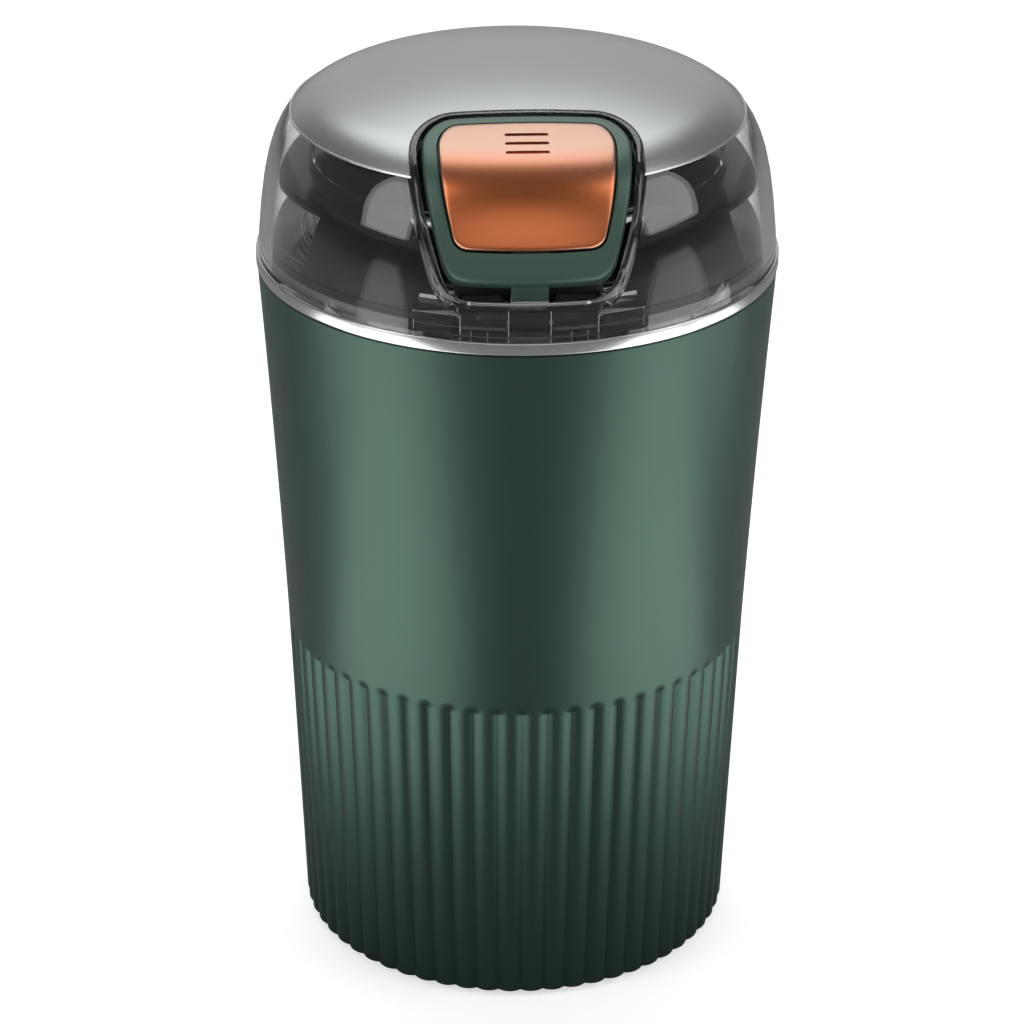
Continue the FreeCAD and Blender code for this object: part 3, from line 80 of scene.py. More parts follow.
def setSurface(surface, **values):
    for name, value in values.items():
        surface.inputs[name.replace("_", " ")].default_value = value


def objectPoint(tree, scale=(1, 1, 1)):
    # object coordinates times a scale, as a vector output
    place = addNode(tree, "ShaderNodeTexCoord")
    mapping = addNode(tree, "ShaderNodeMapping", {"Vector": place.outputs["Object"]}, {"Scale": scale})
    return mapping.outputs["Vector"]


def grainBump(tree, surface, size, depth, stretch=(1, 1, 1), detail=2.0, roughness=None, spread=0.0):
    # fine noise of a real size and depth, both in mm, as bump and as a little change in roughness
    point = objectPoint(tree, tuple(s / (size * mm) for s in stretch))
    noise = addNode(tree, "ShaderNodeTexNoise", {"Vector": point}, {"Scale": 1.0, "Detail": detail})
    bump = addNode(tree, "ShaderNodeBump", {"Height": noise.outputs["Fac"]}, {"Distance": depth * mm,
                                                                             "Strength": 1.0})
    tree.links.new(bump.outputs["Normal"], surface.inputs["Normal"])
    if roughness is not None:
        varied = addNode(tree, "ShaderNodeMapRange", {"Value": noise.outputs["Fac"]},
                         {"From Min": 0.3, "From Max": 0.7, "To Min": roughness - spread,
                          "To Max": roughness + spread})
        tree.links.new(varied.outputs["Result"], surface.inputs["Roughness"])
    return noise


def grained(name, hexText, roughness, grain=0.3, depth=0.006, spread=0.05, metallic=0.0,
            stretch=(1, 1, 1)):
    # one colour with a fine grain, which varies the roughness too
    material, tree, surface = newMaterial(name)
    setSurface(surface, Base_Color=linearColour(hexText), Metallic=metallic, Roughness=roughness)
    grainBump(tree, surface, size=grain, depth=depth, stretch=stretch, roughness=roughness, spread=spread)
    return material


def plainMetal(name, hexText, roughness, grain=0.4, depth=0.004, stretch=(1, 1, 1), spread=0.06):
    return grained(name, hexText, roughness, grain, depth, spread, 1.0, stretch)


def mouldedGreen():
    # ABS moulded in the same green, sprayed satin: a little flatter than the steel
    material, tree, surface = newMaterial("greenAbs")
    setSurface(surface, Base_Color=linearColour("#466054"), Metallic=0.35, Roughness=0.38)
    grainBump(tree, surface, size=0.3, depth=0.004, roughness=0.4, spread=0.03)
    return material


def anodisedCopper():
    # aluminium sheet, bead blasted and anodised copper: deep orange seen square on, with a painted sheen
    # that turns the colour paler at a glancing view, standing in for the pale highlights from the overhead
    # light
    material, tree, surface = newMaterial("copperAnodisedAluminium")
    setSurface(surface, Metallic=1.0, Roughness=0.3, Coat_Weight=0.2, Coat_Roughness=0.25)
    slant = addNode(tree, "ShaderNodeLayerWeight", None, {"Blend": 0.5})
    share = addNode(tree, "ShaderNodeMapRange", {"Value": slant.outputs["Facing"]},
                    {"From Min": 0.08, "From Max": 0.38})
    colour = addNode(tree, "ShaderNodeMix", {0: share.outputs["Result"]}, data_type="RGBA")
    colour.inputs[6].default_value = linearColour("#dc7c4b")
    # painted sheen: this pale colour takes over from the orange where the pad is seen at a glancing angle
    colour.inputs[7].default_value = linearColour("#a88776")
    tree.links.new(colour.outputs[2], surface.inputs["Base Color"])
    grainBump(tree, surface, size=0.22, depth=0.006, roughness=0.3, spread=0.03)
    return material


def smokedStyrene(name, hexText, roughness=0.015):
    # clear styrene acrylonitrile, moulded and polished, with a little smoke in the melt
    material, tree, surface = newMaterial(name)
    setSurface(surface, Base_Color=linearColour(hexText), Roughness=roughness, IOR=1.57,
               Transmission_Weight=1.0)
    return material


finishes = {
    # satin pearl lacquer, sprayed on steel: broad soft highlights and a very fine orange peel
    "greenLacquer": grained("satinGreenLacquer", "#3d554a", 0.4, 0.35, 0.004, 0.03, metallic=0.8),
    "greenAbs": mouldedGreen(),
    "copper": anodisedCopper(),
    # aluminium-coloured lacquer on the cap: satin, no visible grain from a step away
    "silver": grained("satinSilverLacquer", "#a9acac", 0.34, 0.3, 0.003, 0.02, metallic=0.85),
    "lidClear": smokedStyrene("smokedClearStyrene", "#f3f4f5"),
    "coverClear": smokedStyrene("darkSmokedStyrene", "#eef0f0"),
    # stainless strip, turned and polished, and the drawn bowl, brushed: fine lines run round them
    "ringSteel": plainMetal("turnedStainless", "#cfcfce", 0.22, 0.2, 0.002, (0.15, 0.15, 1.0), 0.04),
    "bowlSteel": plainMetal("brushedStainless", "#bdbdbb", 0.3, 0.3, 0.003, (0.1, 0.1, 1.0)),
    # moulded plastics with a fine spark-eroded texture, and plain metals
    "blackAbs": grained("blackAbs", "#0c0c0c", 0.32),
    "blackGloss": grained("polishedBlackAbs", "#161616", 0.14, depth=0.001),
    "blackRubber": grained("blackRubber", "#080808", 0.65, grain=0.5, depth=0.02),
    "whiteNylon": grained("whiteNylon", "#d8d6cf", 0.45),
    "boardLaminate": grained("boardLaminate", "#2c5a38", 0.4),
    "springSteel": plainMetal("springSteel", "#9a9a9b", 0.3),
    "zincScrew": plainMetal("zincScrew", "#b4b4b0", 0.35),
    "castAlloy": plainMetal("castAlloy", "#8d8e90", 0.5, grain=0.8, depth=0.03),
    "lamination": plainMetal("laminationSteel", "#55565a", 0.5, grain=0.5, depth=0.01),
    "winding": plainMetal("copperWinding", "#a4592f", 0.35),
    "bronze": plainMetal("sinteredBronze", "#8f7442", 0.5, grain=0.3, depth=0.02),
    "carbon": grained("carbonBlock", "#1b1b1c", 0.6),
    # painted glints: pale strips for light caught by the edges of the clear guide block, the tops of its
    # wings and the tongue's lower edge
    "paleEdge": grained("styreneWithPaintedGlint", "#f2f3f3", 0.4, depth=0.002),
    # painted reflections: grey strips for the grey bands of reflected light in the clear guide block
    "greyEdge": grained("styreneWithPaintedReflection", "#6a6a6b", 0.4, depth=0.002),
}
print("materials made")


# Shapes from loops of points

def smoothMesh(mesh, angle=35):
    mesh.polygons.foreach_set("use_smooth", [True] * len(mesh.polygons))
    mesh.set_sharp_from_angle(angle=radians(angle))


def meshObject(name, points, faces, finish, angle=35):
    mesh = bpy.data.meshes.new(name)
    mesh.from_pydata(points, [], faces)
    mesh.validate()
    smoothMesh(mesh, angle)
    piece = bpy.data.objects.new(name, mesh)
    bpy.context.scene.collection.objects.link(piece)
    piece.data.materials.append(finishes[finish])
    return piece


def loopPiece(name, loops, finish, ringed=False, startCap=False, endCap=False, angle=35):
    # skin over closed loops of equal length, given in mm. ringed joins the last loop to the first
    loops = np.asarray(loops, float) * mm
    count, size = loops.shape[:2]
    points = [tuple(p) for p in loops.reshape(-1, 3)]
    faces = []
    last = count if ringed else count - 1
    for row in range(last):
        a, b = row * size, ((row + 1) % count) * size
        faces += [(a + i, a + (i + 1) % size, b + (i + 1) % size, b + i) for i in range(size)]
    for wanted, row in ((startCap, 0), (endCap, count - 1)):
        if wanted:
            centre = len(points)
            points.append(tuple(loops[row].mean(axis=0)))
            a = row * size
            ends = [(a + (i + 1) % size, a + i, centre) for i in range(size)]
            faces += ends if row == 0 else [f[::-1] for f in ends]
    piece = meshObject(name, points, faces, finish, angle)
    faceOutwards(piece)
    return piece


def faceOutwards(piece):
    # turns the faces so that the closed mesh has a positive volume
    mesh = piece.data
    mesh.calc_loop_triangles()
    volume = 0.0
    for triangle in mesh.loop_triangles:
        a, b, c = (mesh.vertices[i].co for i in triangle.vertices)
        volume += a.dot(b.cross(c))
    if volume < 0:
        mesh.flip_normals()


def roundedOutline(corners, steps=4):
    # half section from (radius, height, fillet) corners, closed, with each fillet as an arc
    result = []
    total = len(corners)
    for index, (r, z, fillet) in enumerate(corners):
        here = np.array([r, z], float)
        if fillet <= 0:
            result.append(here)
            continue
        before = np.array(corners[index - 1][:2], float) - here
        after = np.array(corners[(index + 1) % total][:2], float) - here
        u, w = before / np.linalg.norm(before), after / np.linalg.norm(after)
        half = np.arccos(np.clip(u @ w, -1, 1)) / 2
        reach = fillet / tan(half)
        centre = here + (u + w) / np.linalg.norm(u + w) * fillet / sin(half)
        start, end = here + u * reach - centre, here + w * reach - centre
        turn = np.arctan2(start[0] * end[1] - start[1] * end[0], start @ end)
        for step in range(steps + 1):
            a = turn * step / steps
            result.append(centre + np.array([start[0] * cos(a) - start[1] * sin(a),
                                             start[0] * sin(a) + start[1] * cos(a)]))
    return result


def around(reach, turns, z):
    # points at a reach from Z, one for each turn
    return np.stack([reach * np.cos(turns), reach * np.sin(turns), np.full(len(turns), z)], axis=1)


def turned(section, segments=288):
    # loops of a half section of (radius, height) turned about Z
    turns = np.linspace(0, 2 * pi, segments, endpoint=False)
    return [around(r, turns, z) for r, z in section]


def lathePiece(name, section, finish):
    # the half section is closed
    return loopPiece(name, turned(section), finish, ringed=True)


def discPiece(name, section, finish):
    # the half section starts and ends near the axis
    return loopPiece(name, turned(section), finish, startCap=True, endCap=True)


def prismPiece(name, low, high, finish):
    # closed prism between two outlines of equal length, each a list of (x, y, z) in mm
    size = len(low)
    points = [tuple(v * mm for v in p) for p in [*low, *high]]
    faces = [(i, (i + 1) % size, size + (i + 1) % size, size + i) for i in range(size)]
    faces += [tuple(range(size))[::-1], tuple(range(size, 2 * size))]
    piece = meshObject(name, points, faces, finish)
    faceOutwards(piece)
    return piece


def boxPiece(name, low, high, finish, edge=0.0):
    # a block between two corners in mm, with its edges rounded
    (x0, y0, z0), (x1, y1, z1) = low, high
    plan = [(x0, y0), (x1, y0), (x1, y1), (x0, y1)]
    piece = prismPiece(name, [(x, y, z0) for x, y in plan], [(x, y, z1) for x, y in plan], finish)
    if edge:
        roundEdges(piece, edge, 3, 30)
    return piece


def roundEdges(piece, edge, segments, limit):
    # rounds what is sharper than the limit in degrees
    rounding = piece.modifiers.new("rounding", "BEVEL")
    rounding.width = edge * mm
    rounding.segments = segments
    rounding.angle_limit = radians(limit)
    applyModifiers(piece)
    smoothMesh(piece.data)


def applyModifiers(piece):
    bpy.context.view_layer.update()
    evaluated = piece.evaluated_get(bpy.context.evaluated_depsgraph_get())
    mesh = bpy.data.meshes.new_from_object(evaluated)
    piece.modifiers.clear()
    old = piece.data
    name = old.name
    piece.data = mesh
    bpy.data.meshes.remove(old)
    mesh.name = name


def combine(piece, tools, operation):
    # boolean with each tool, which is used up
    for tool in tools:
        modifier = piece.modifiers.new("cut", "BOOLEAN")
        modifier.operation = operation
        modifier.solver = "EXACT"
        modifier.object = tool
        applyModifiers(piece)
        bpy.data.objects.remove(tool)
    while len(piece.data.materials) > 1:
        piece.data.materials.pop()
    smoothMesh(piece.data)


# Housing with its flutes

housing = {
    "bottom": 0.8, "knee": 68.0, "top": 141.35,
    "bottomRadius": 43.0, "kneeRadius": 45.65, "topRadius": 50.0, "hollow": 0.2, "wall": 2.6,
    "flutes": 60, "fluteDepth": 0.85, "fluteHalfWidth": 2.0, "fluteTop": 67.0, "flutePhase": -0.9,
    "pointsPerFlute": 16, "edge": 1.3, "valleyRound": 0.12,
}


def housingRadius(height):
    h = housing
    if height < h["knee"]:
        share = (height - h["bottom"]) / (h["knee"] - h["bottom"])
        return h["bottomRadius"] + share * (h["kneeRadius"] - h["bottomRadius"])
    share = (height - h["knee"]) / (h["top"] - h["knee"])
    straight = h["kneeRadius"] + share * (h["topRadius"] - h["kneeRadius"])
    return straight - h["hollow"] * 4 * share * (1 - share)


def fluteDepth(across, height):
    # depth of the groove at a distance across from its middle: ribs are round, valleys sharp
    h = housing
    ribHalf = pi * h["bottomRadius"] / h["flutes"]
    flank = (ribHalf ** 2 + h["fluteDepth"] ** 2) / (2 * h["fluteDepth"])
    archCentre = h["fluteTop"] - h["fluteHalfWidth"]
    reach = np.abs(across) if height <= archCentre else np.hypot(across, height - archCentre)
    reach = np.sqrt(reach ** 2 + h["valleyRound"] ** 2)
    fromCrest = np.clip(ribHalf - reach, 0, ribHalf)
    return flank - np.sqrt(flank ** 2 - fromCrest ** 2)


def housingShell():
    h = housing
    perFlute = h["pointsPerFlute"]
    total = h["flutes"] * perFlute
    pitch = 2 * pi / h["flutes"]
    turns = np.arange(total) * 2 * pi / total + radians(-90 + h["flutePhase"])
    shareAcross = (np.arange(total) % perFlute) / perFlute
    shareAcross = np.where(shareAcross > 0.5, shareAcross - 1, shareAcross)
    edgeHeights = [h["bottom"] + h["edge"] * (1 - cos(a)) for a in np.linspace(0, pi / 2, 6)]
    archHeights = np.linspace(h["fluteTop"] - h["fluteHalfWidth"] - 0.4, h["fluteTop"] + 0.9, 22)
    heights = edgeHeights + [8, 20, 35, 50, 60] + list(archHeights) + list(np.linspace(70, 139, 24))
    heights += [h["top"] - 0.6, h["top"] - 0.15, h["top"]]
    loops = []
    for z in heights:
        radius = housingRadius(z)
        across = shareAcross * pitch * radius
        reach = radius - fluteDepth(across, z)
        sink = max(0.0, h["bottom"] + h["edge"] - z) / h["edge"]
        reach = reach - h["edge"] * (1 - sqrt(max(0.0, 1 - sink ** 2)))
        if z > h["top"] - 0.1:
            reach = reach - 0.15
        loops.append(around(reach, turns, z))
    for z in (h["top"], 100, h["knee"], 30, h["bottom"]):
        loops.append(around(housingRadius(z) - h["wall"], turns, z))
    piece = loopPiece("green_housing", loops, "greenLacquer", ringed=True, angle=40)
    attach(piece, "housing")
    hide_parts("body_housing")
    return piece


housingShell()
print("housing made")


# Trim ring

ring = {"radius": 50.2, "bottom": 141.6, "top": 144.1, "inner": 45.0, "web": 0.8, "spigot": 46.8,
        "spigotWall": 0.8, "spigotEnd": 137.6, "edge": 0.3, "innerEdge": 0.1,
        "lipInner": 46.2, "lipOuter": 46.85, "lipBottom": 143.7, "lipTop": 146.15, "lipEdge": 0.15,
        "lipGap": 21.4}


def trimRing():
    g = ring
    section = roundedOutline([
        (g["inner"], g["top"] - g["web"], g["innerEdge"]), (g["inner"], g["top"], g["innerEdge"]),
        (g["radius"], g["top"], g["edge"]), (g["radius"], g["bottom"], g["edge"]),
        (g["spigot"], g["bottom"], 0), (g["spigot"], g["spigotEnd"], g["innerEdge"]),
        (g["spigot"] - g["spigotWall"], g["spigotEnd"], g["innerEdge"]),
        (g["spigot"] - g["spigotWall"], g["top"] - g["web"], 0)])
    piece = lathePiece("steel_trim_ring", section, "ringSteel")
    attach(piece, "housing")
    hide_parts("trim_ring")
    # a low lip inside the lid's foot, open in front for the guide block
    lip = lathePiece("ring_lip", roundedOutline([
        (g["lipInner"], g["lipBottom"], 0), (g["lipOuter"], g["lipBottom"], 0),
        (g["lipOuter"], g["lipTop"], g["lipEdge"]), (g["lipInner"], g["lipTop"], g["lipEdge"])]),
        "castAlloy")
    combine(lip, [boxPiece("gap", (-g["lipGap"], -beyond, g["bottom"]), (g["lipGap"], 0, g["lipTop"] + 1),
                           "castAlloy")], "DIFFERENCE")
    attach(lip, "housing")


trimRing()

# Lid outline: a leaning wall, a shoulder curve and a crown, measured from the lid's datum

lid = {"datum": 141.65, "foot": 49.97, "lean": 4.0, "rise": 22.9, "reach": 12.8, "crown": 34.4,
       "crownEdge": 34.5, "sag": 4.4, "wall": 2.6, "seat": 144.13, "loops": 70,
       "capThick": 1.1, "bead": 0.22, "capEdgeRadius": 43.05, "capEdgeHeight": 29.8}


def lidOutline(inset=0.0, samples=260):
    # radii and heights of the lid's surface from foot to crown, set in by a distance
    g = lid
    lean = radians(g["lean"])
    slope = asin(2 * g["crown"] * g["sag"] / (g["crown"] ** 2 + g["sag"] ** 2))
    foot = np.array([g["foot"], 0.0])
    shoulder = np.array([g["crown"], g["crownEdge"]])
    poles = [foot, foot + np.array([-g["rise"] * sin(lean), g["rise"] * cos(lean)]),
             shoulder + np.array([g["reach"] * cos(slope), -g["reach"] * sin(slope)]), shoulder]
    t = np.linspace(0, 1, samples)[:, None]
    curve = ((1 - t) ** 3 * poles[0] + 3 * (1 - t) ** 2 * t * poles[1] + 3 * (1 - t) * t ** 2 * poles[2]
             + t ** 3 * poles[3])
    sphere = (g["crown"] ** 2 + g["sag"] ** 2) / (2 * g["sag"])
    turn = np.linspace(slope, 0, samples)[1:]
    top = g["crownEdge"] + g["sag"]
    crown = np.stack([sphere * np.sin(turn), top - sphere * (1 - np.cos(turn))], axis=1)
    line = np.concatenate([curve, crown])
    tangent = np.gradient(line, axis=0)
    tangent /= np.linalg.norm(tangent, axis=1)[:, None]
    normal = np.stack([tangent[:, 1], -tangent[:, 0]], axis=1)
    normal[-1] = (0, 1)
    return line - normal * inset


def outlineReach(line):
    # distance along the outline from the crown's middle, for each of its points
    steps = np.linalg.norm(np.diff(line[::-1], axis=0), axis=1)
    return np.concatenate([[0], np.cumsum(steps)])[::-1]


def onLid(x, v, depth):
    # points of the lid's surface, set in by depth, that lie behind points of the leaning plane
    line = lidOutline(depth)
    radii, heights = line[:, 0], line[:, 1]
    low = np.maximum(20.0, 1.0 - v)
    high = np.full_like(v, 75.0)
    for _ in range(40):
        w = (low + high) / 2
        y, dz = (v - w) / sqrt(2), (v + w) / sqrt(2)
        inside = np.hypot(x, y) < np.interp(dz, heights, radii, right=-1.0)
        low, high = np.where(inside, w, low), np.where(inside, high, w)
    y, dz = (v - low) / sqrt(2), (v + low) / sqrt(2)
    return np.stack([x, y, dz + lid["datum"]], axis=1)


# Outlines in the leaning plane

shield = {"topSteps": 10, "cornerSteps": 12, "sideSteps": 16, "lowerSteps": 10, "lowSteps": 10,
          "sideCurve": 68.0, "bow": 1.0}


def shieldLoop(halfWidth, top, bottom, cornerWidth, cornerHeight, lowerCorner):
    # points (x, v) round a lever, pad or pocket, clockwise from the middle of the top edge
    g = shield
    shoulderV, cornerV = top - cornerHeight, bottom + lowerCorner
    curve = g["sideCurve"]
    turn = asin((shoulderV - cornerV) / curve)
    sideX = halfWidth - curve * (1 - cos(turn))
    endX = sideX - lowerCorner
    bow = g["bow"] * (endX / 12.0) ** 2
    lean = 2 * atan(bow / endX)

    def share(count):
        return np.arange(count)[:, None] / count

    t = share(g["topSteps"])
    topEnd = np.array([halfWidth - cornerWidth, top])
    points = [t * topEnd + (1 - t) * np.array([0, top])]
    t = share(g["cornerSteps"])
    swing = 0.5523
    shoulder = np.array([halfWidth, shoulderV])
    poleA, poleB = topEnd + [cornerWidth * swing, 0], shoulder + [0, cornerHeight * swing]
    points.append((1 - t) ** 3 * topEnd + 3 * (1 - t) ** 2 * t * poleA + 3 * (1 - t) * t ** 2 * poleB
                  + t ** 3 * shoulder)
    t = share(g["sideSteps"]) * turn
    points.append(np.hstack([halfWidth - curve * (1 - np.cos(t)), shoulderV - curve * np.sin(t)]))
    start, end = np.array([sideX, cornerV]), np.array([endX, bottom + bow])
    along, back = np.array([-sin(turn), -cos(turn)]), np.array([cos(lean), sin(lean)])
    gap = end - start
    cross = along[0] * back[1] - along[1] * back[0]
    knee = start + along * (gap[0] * back[1] - gap[1] * back[0]) / cross
    t = share(g["lowerSteps"])
    points.append((1 - t) ** 2 * start + 2 * (1 - t) * t * knee + t ** 2 * end)
    t = share(g["lowSteps"])
    points.append(np.hstack([endX * (1 - t), bottom + bow * (1 - t) ** 2]))
    right = np.concatenate(points)
    left = right[1:][::-1] * [-1, 1]
    return np.concatenate([right, [[0, bottom]], left])


def grown(loop, distance):
    # the loop moved outwards in its plane
    tangent = np.roll(loop, -1, axis=0) - np.roll(loop, 1, axis=0)
    tangent /= np.linalg.norm(tangent, axis=1)[:, None]
    return loop + np.stack([-tangent[:, 1], tangent[:, 0]], axis=1) * distance


lever = {"halfWidth": 19.0, "top": 8.7, "bottom": -24.8, "cornerWidth": 6.4, "cornerHeight": 8.2,
         "lowerCorner": 4.5}
pad = {"halfWidth": 16.0, "top": 6.4, "bottom": -20.1, "cornerWidth": 3.7, "cornerHeight": 6.2,
       "lowerCorner": 3.2}
leverSkin = {"thick": 2.0, "wallBreak": 0.9, "edge": 0.5, "padGap": 0.3, "bedLip": 0.2, "bed": 1.1,
             "rows": 14, "near": 0.04, "far": 0.96}
padSkin = {"proud": 0.3, "edge": 0.35, "under": 1.0, "topRows": 22, "underRows": 14, "near": 0.02,
           "far": 0.96}
gripBars = {"count": 3, "length": 8.0, "width": 0.8, "pitch": 2.4, "place": 0.5, "depth": 0.3,
            "reachOut": 1.0}
pocketGap = {"side": 0.9, "top": 0.7, "bottom": 2.95}
rim = {"side": 1.3, "top": 1.0, "bottom": 0.35, "proud": 1.3, "crownProud": 0.15, "lowShare": 0.25,
       "depths": (4.4, 2.0, 0.8), "toeSide": 0.8, "toe": 0.6, "slopeY": (-48, -30), "slopeV": (-26.6, -22.0),
       "innerRows": ((0.0, 0.5), (0.1, 0.85), (0.3, 1.0)),
       "outerRows": ((-0.35, 1.0), (-0.1, 0.85), (0.0, 0.55), (0.12, 0.25), (0.4, 0.07))}


def pocketLoop(extraSide=0.0, extraTop=0.0, extraBottom=0.0):
    side = pocketGap["side"] + extraSide
    return shieldLoop(lever["halfWidth"] + side, lever["top"] + pocketGap["top"] + extraTop,
                      lever["bottom"] - pocketGap["bottom"] - extraBottom, lever["cornerWidth"] + side,
                      lever["cornerHeight"] + side, 5.5 + extraSide * 0.6)


def seated(loop, depth):
    return onLid(loop[:, 0], loop[:, 1], depth)


def between(a, b, count):
    return [a + (b - a) * i / count for i in range(1, count)]


def edgeRows(outline, edge, sink):
    # rows of a rounded outer edge, from its side up to its top, which lies at depth sink
    return [(grown(outline, -edge * (1 - cos(a))), edge * (1 - sin(a)) + sink)
            for a in np.linspace(0, pi / 2, 5)[1:]]


def shrunk(loop, shares, depth):
    # rows of the loop drawn in towards the pad's middle, all at one depth
    centre = np.array([0.0, (pad["top"] + pad["bottom"]) / 2])
    return [(centre + (loop - centre) * share, depth) for share in shares]


def leverPiece():
    g = leverSkin
    outline = shieldLoop(**lever)
    opening = grown(shieldLoop(**pad), g["padGap"])
    rows = [(outline, g["thick"]), (outline, g["wallBreak"]), (outline, g["edge"])]
    rows += edgeRows(outline, g["edge"], 0.0)
    inner = grown(opening, g["bedLip"])
    rows += [(loop, 0.0) for loop in between(rows[-1][0], inner, 5)]
    rows += [(inner, 0.0), (grown(opening, 0.06), 0.05), (opening, g["bedLip"]), (opening, g["bed"])]
    rows += shrunk(opening, np.linspace(g["far"], g["near"], g["rows"]), g["bed"])
    rows += shrunk(outline, np.linspace(g["near"], g["far"], g["rows"]), g["thick"])
    loops = [seated(loop, depth) for loop, depth in rows]
    piece = loopPiece("green_lever", loops, "greenAbs", ringed=True)
    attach(piece, "button")
    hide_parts("button_lever")
    return piece


def padPiece():
    g = padSkin
    outline = shieldLoop(**pad)
    rows = shrunk(outline, np.linspace(g["near"], g["far"], g["underRows"]), g["under"])
    rows += [(outline, g["under"]), (outline, g["edge"] - g["proud"])]
    rows += edgeRows(outline, g["edge"], -g["proud"])
    rows += shrunk(rows[-1][0], np.linspace(g["far"], g["near"], g["topRows"]), -g["proud"])
    loops = [seated(loop, depth) for loop, depth in rows]
    piece = loopPiece("copper_pad", loops, "copper", startCap=True, endCap=True)
    g = gripBars
    tools = []
    for index in range(g["count"]):
        v = g["place"] - (index - (g["count"] - 1) / 2) * g["pitch"]
        turns = np.linspace(-pi / 2, pi / 2, 9)
        reach = (g["length"] - g["width"]) / 2
        end = np.stack([reach + g["width"] / 2 * np.cos(turns), v + g["width"] / 2 * np.sin(turns)], axis=1)
        loop = np.concatenate([end, end[::-1] * [-1, 1]])
        floor = seated(loop, g["depth"] - padSkin["proud"])
        tools.append(loopPiece("gripBar", [seated(loop, -g["reachOut"]), floor], "copper", startCap=True,
                               endCap=True))
    combine(piece, tools, "DIFFERENCE")
    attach(piece, "button")
    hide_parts("button_pad")
    return piece


tongue = {"half": 3.4, "front": -47.4, "back": -45.45, "low": 151.05, "high": 160.5, "footFront": -46.5,
          "footLow": 145.9, "lip": 0.5, "lipProud": 0.1}


def tonguePieces():
    # a green tongue under the lever, with a pale strip as a painted highlight on its lower edge, where the
    # black foot starts behind the lid's wall
    g = tongue
    lipLow = g["low"] - g["lip"]
    parts = [("green_tongue", g["front"], g["low"], g["high"], "greenAbs", "green_plastic", 0.25),
             # painted highlight: a pale strip along the tongue's lower edge
             ("tongue_painted_glint", g["front"] - g["lipProud"], lipLow, g["low"], "paleEdge", "white_plastic",
              0.12),
             ("tongue_foot", g["footFront"], g["footLow"], lipLow, "blackAbs", "black_plastic", 0.2)]
    for name, front, low, high, finish, slot, edge in parts:
        piece = boxPiece(name, (-g["half"], front, low), (g["half"], g["back"], high), finish, edge)
        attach(piece, "button")


leverPiece()
padPiece()
tonguePieces()
print("lever and pad made")


# Lid shell: one skin from the foot over the crown to the raised rim of the lever's pocket

def lidShell():
    pocket = pocketLoop()
    outer = pocketLoop(rim["side"], rim["top"], rim["bottom"])
    toe = pocketLoop(rim["side"] + rim["toeSide"], rim["top"] + rim["toe"], rim["bottom"] + rim["toe"])
    rimHeight = np.interp(seated(pocket, 0.0)[:, 1], rim["slopeY"], [rim["proud"], rim["crownProud"]])
    rimHeight = rimHeight * np.interp(pocket[:, 1], rim["slopeV"], [rim["lowShare"], 1.0])
    line, inside = lidOutline(0.0), lidOutline(lid["wall"])

    def spreadLoops(loop3d, outline, footHeight, steps):
        # loops on the lid's surface from a loop round the pocket to the foot
        reachAlong = outlineReach(outline)
        radii, heights = outline[:, 0], outline[:, 1] + lid["datum"]
        footReach = np.interp(footHeight, heights, reachAlong)
        turn = np.arctan2(loop3d[:, 1], loop3d[:, 0])
        reach = np.interp(loop3d[:, 2], heights, reachAlong)
        flat = np.stack([reach * np.cos(turn), reach * np.sin(turn)], axis=1)
        centre = flat.mean(axis=0)
        way = flat - centre
        way /= np.linalg.norm(way, axis=1)[:, None]
        along = (centre * way).sum(axis=1)
        far = -along + np.sqrt(along ** 2 - centre @ centre + footReach ** 2)
        target = centre + way * far[:, None]
        result = []
        for step in range(1, steps + 1):
            spot = flat + (target - flat) * (step / steps)
            r = np.linalg.norm(spot, axis=1)
            radius = np.interp(r, reachAlong[::-1], radii[::-1])
            z = np.interp(r, reachAlong[::-1], heights[::-1])
            a = np.arctan2(spot[:, 1], spot[:, 0])
            result.append(around(radius, a, z))
        return result

    outerStart = seated(toe, 0.0)
    innerStart = seated(outer, lid["wall"])
    outerLoops = spreadLoops(outerStart, line, lid["seat"], lid["loops"])
    innerLoops = spreadLoops(innerStart, inside, lid["seat"], lid["loops"])

    def raised(loop, share):
        depth = -rimHeight * share
        flat = seated(loop, 0.0)
        deep = seated(loop, 1.0)
        normal = flat - deep
        normal /= np.linalg.norm(normal, axis=1)[:, None]
        return flat - normal * depth[:, None]

    rimLoops = [innerStart] + [seated(pocket, depth) for depth in rim["depths"]]
    rimLoops += [raised(grown(pocket, out), share) for out, share in rim["innerRows"]]
    rimLoops += [raised(grown(outer, out), share) for out, share in rim["outerRows"]]
    loops = innerLoops[::-1] + rimLoops + [outerStart] + outerLoops
    piece = loopPiece("clear_lid", loops, "lidClear", ringed=True, angle=40)
    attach(piece, "lid")
    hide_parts("lid_shell")
    return piece


lidShell()
print("lid shell made")


def topCap():
    g = lid
    reach = g["capEdgeRadius"] - g["capEdgeHeight"]
    outer = lidOutline(-0.05)
    under = lidOutline(g["capThick"])
    keepOuter = outer[outer[:, 0] - outer[:, 1] < reach]
    keepUnder = under[under[:, 0] - under[:, 1] < reach]
    skip = 6
    section = [(r, z + g["datum"]) for r, z in keepUnder[::-1][1::skip]]
    edge = keepOuter[0] + [0, g["datum"]]
    section += [tuple(keepUnder[0] + [0, g["datum"]]), tuple(edge)]
    section += [(r, z + g["datum"]) for r, z in keepOuter[1::skip]]
    section = [p for p in section if p[0] > 0.2]
    piece = discPiece("silver_cap", section, "silver")
    combine(piece, [pocketCutter("silver")], "DIFFERENCE")
    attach(piece, "lid")
    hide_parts("top_cap")
    turns = np.linspace(0, 2 * pi, 12, endpoint=False)
    bead = [(edge[0] + g["bead"] * cos(a), edge[1] + g["bead"] * sin(a)) for a in turns]
    piece = lathePiece("cap_bead", bead, "ringSteel")
    combine(piece, [pocketCutter("silver")], "DIFFERENCE")
    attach(piece, "lid")


cutter = {"gap": 0.1, "near": 24.0, "far": 70.0}


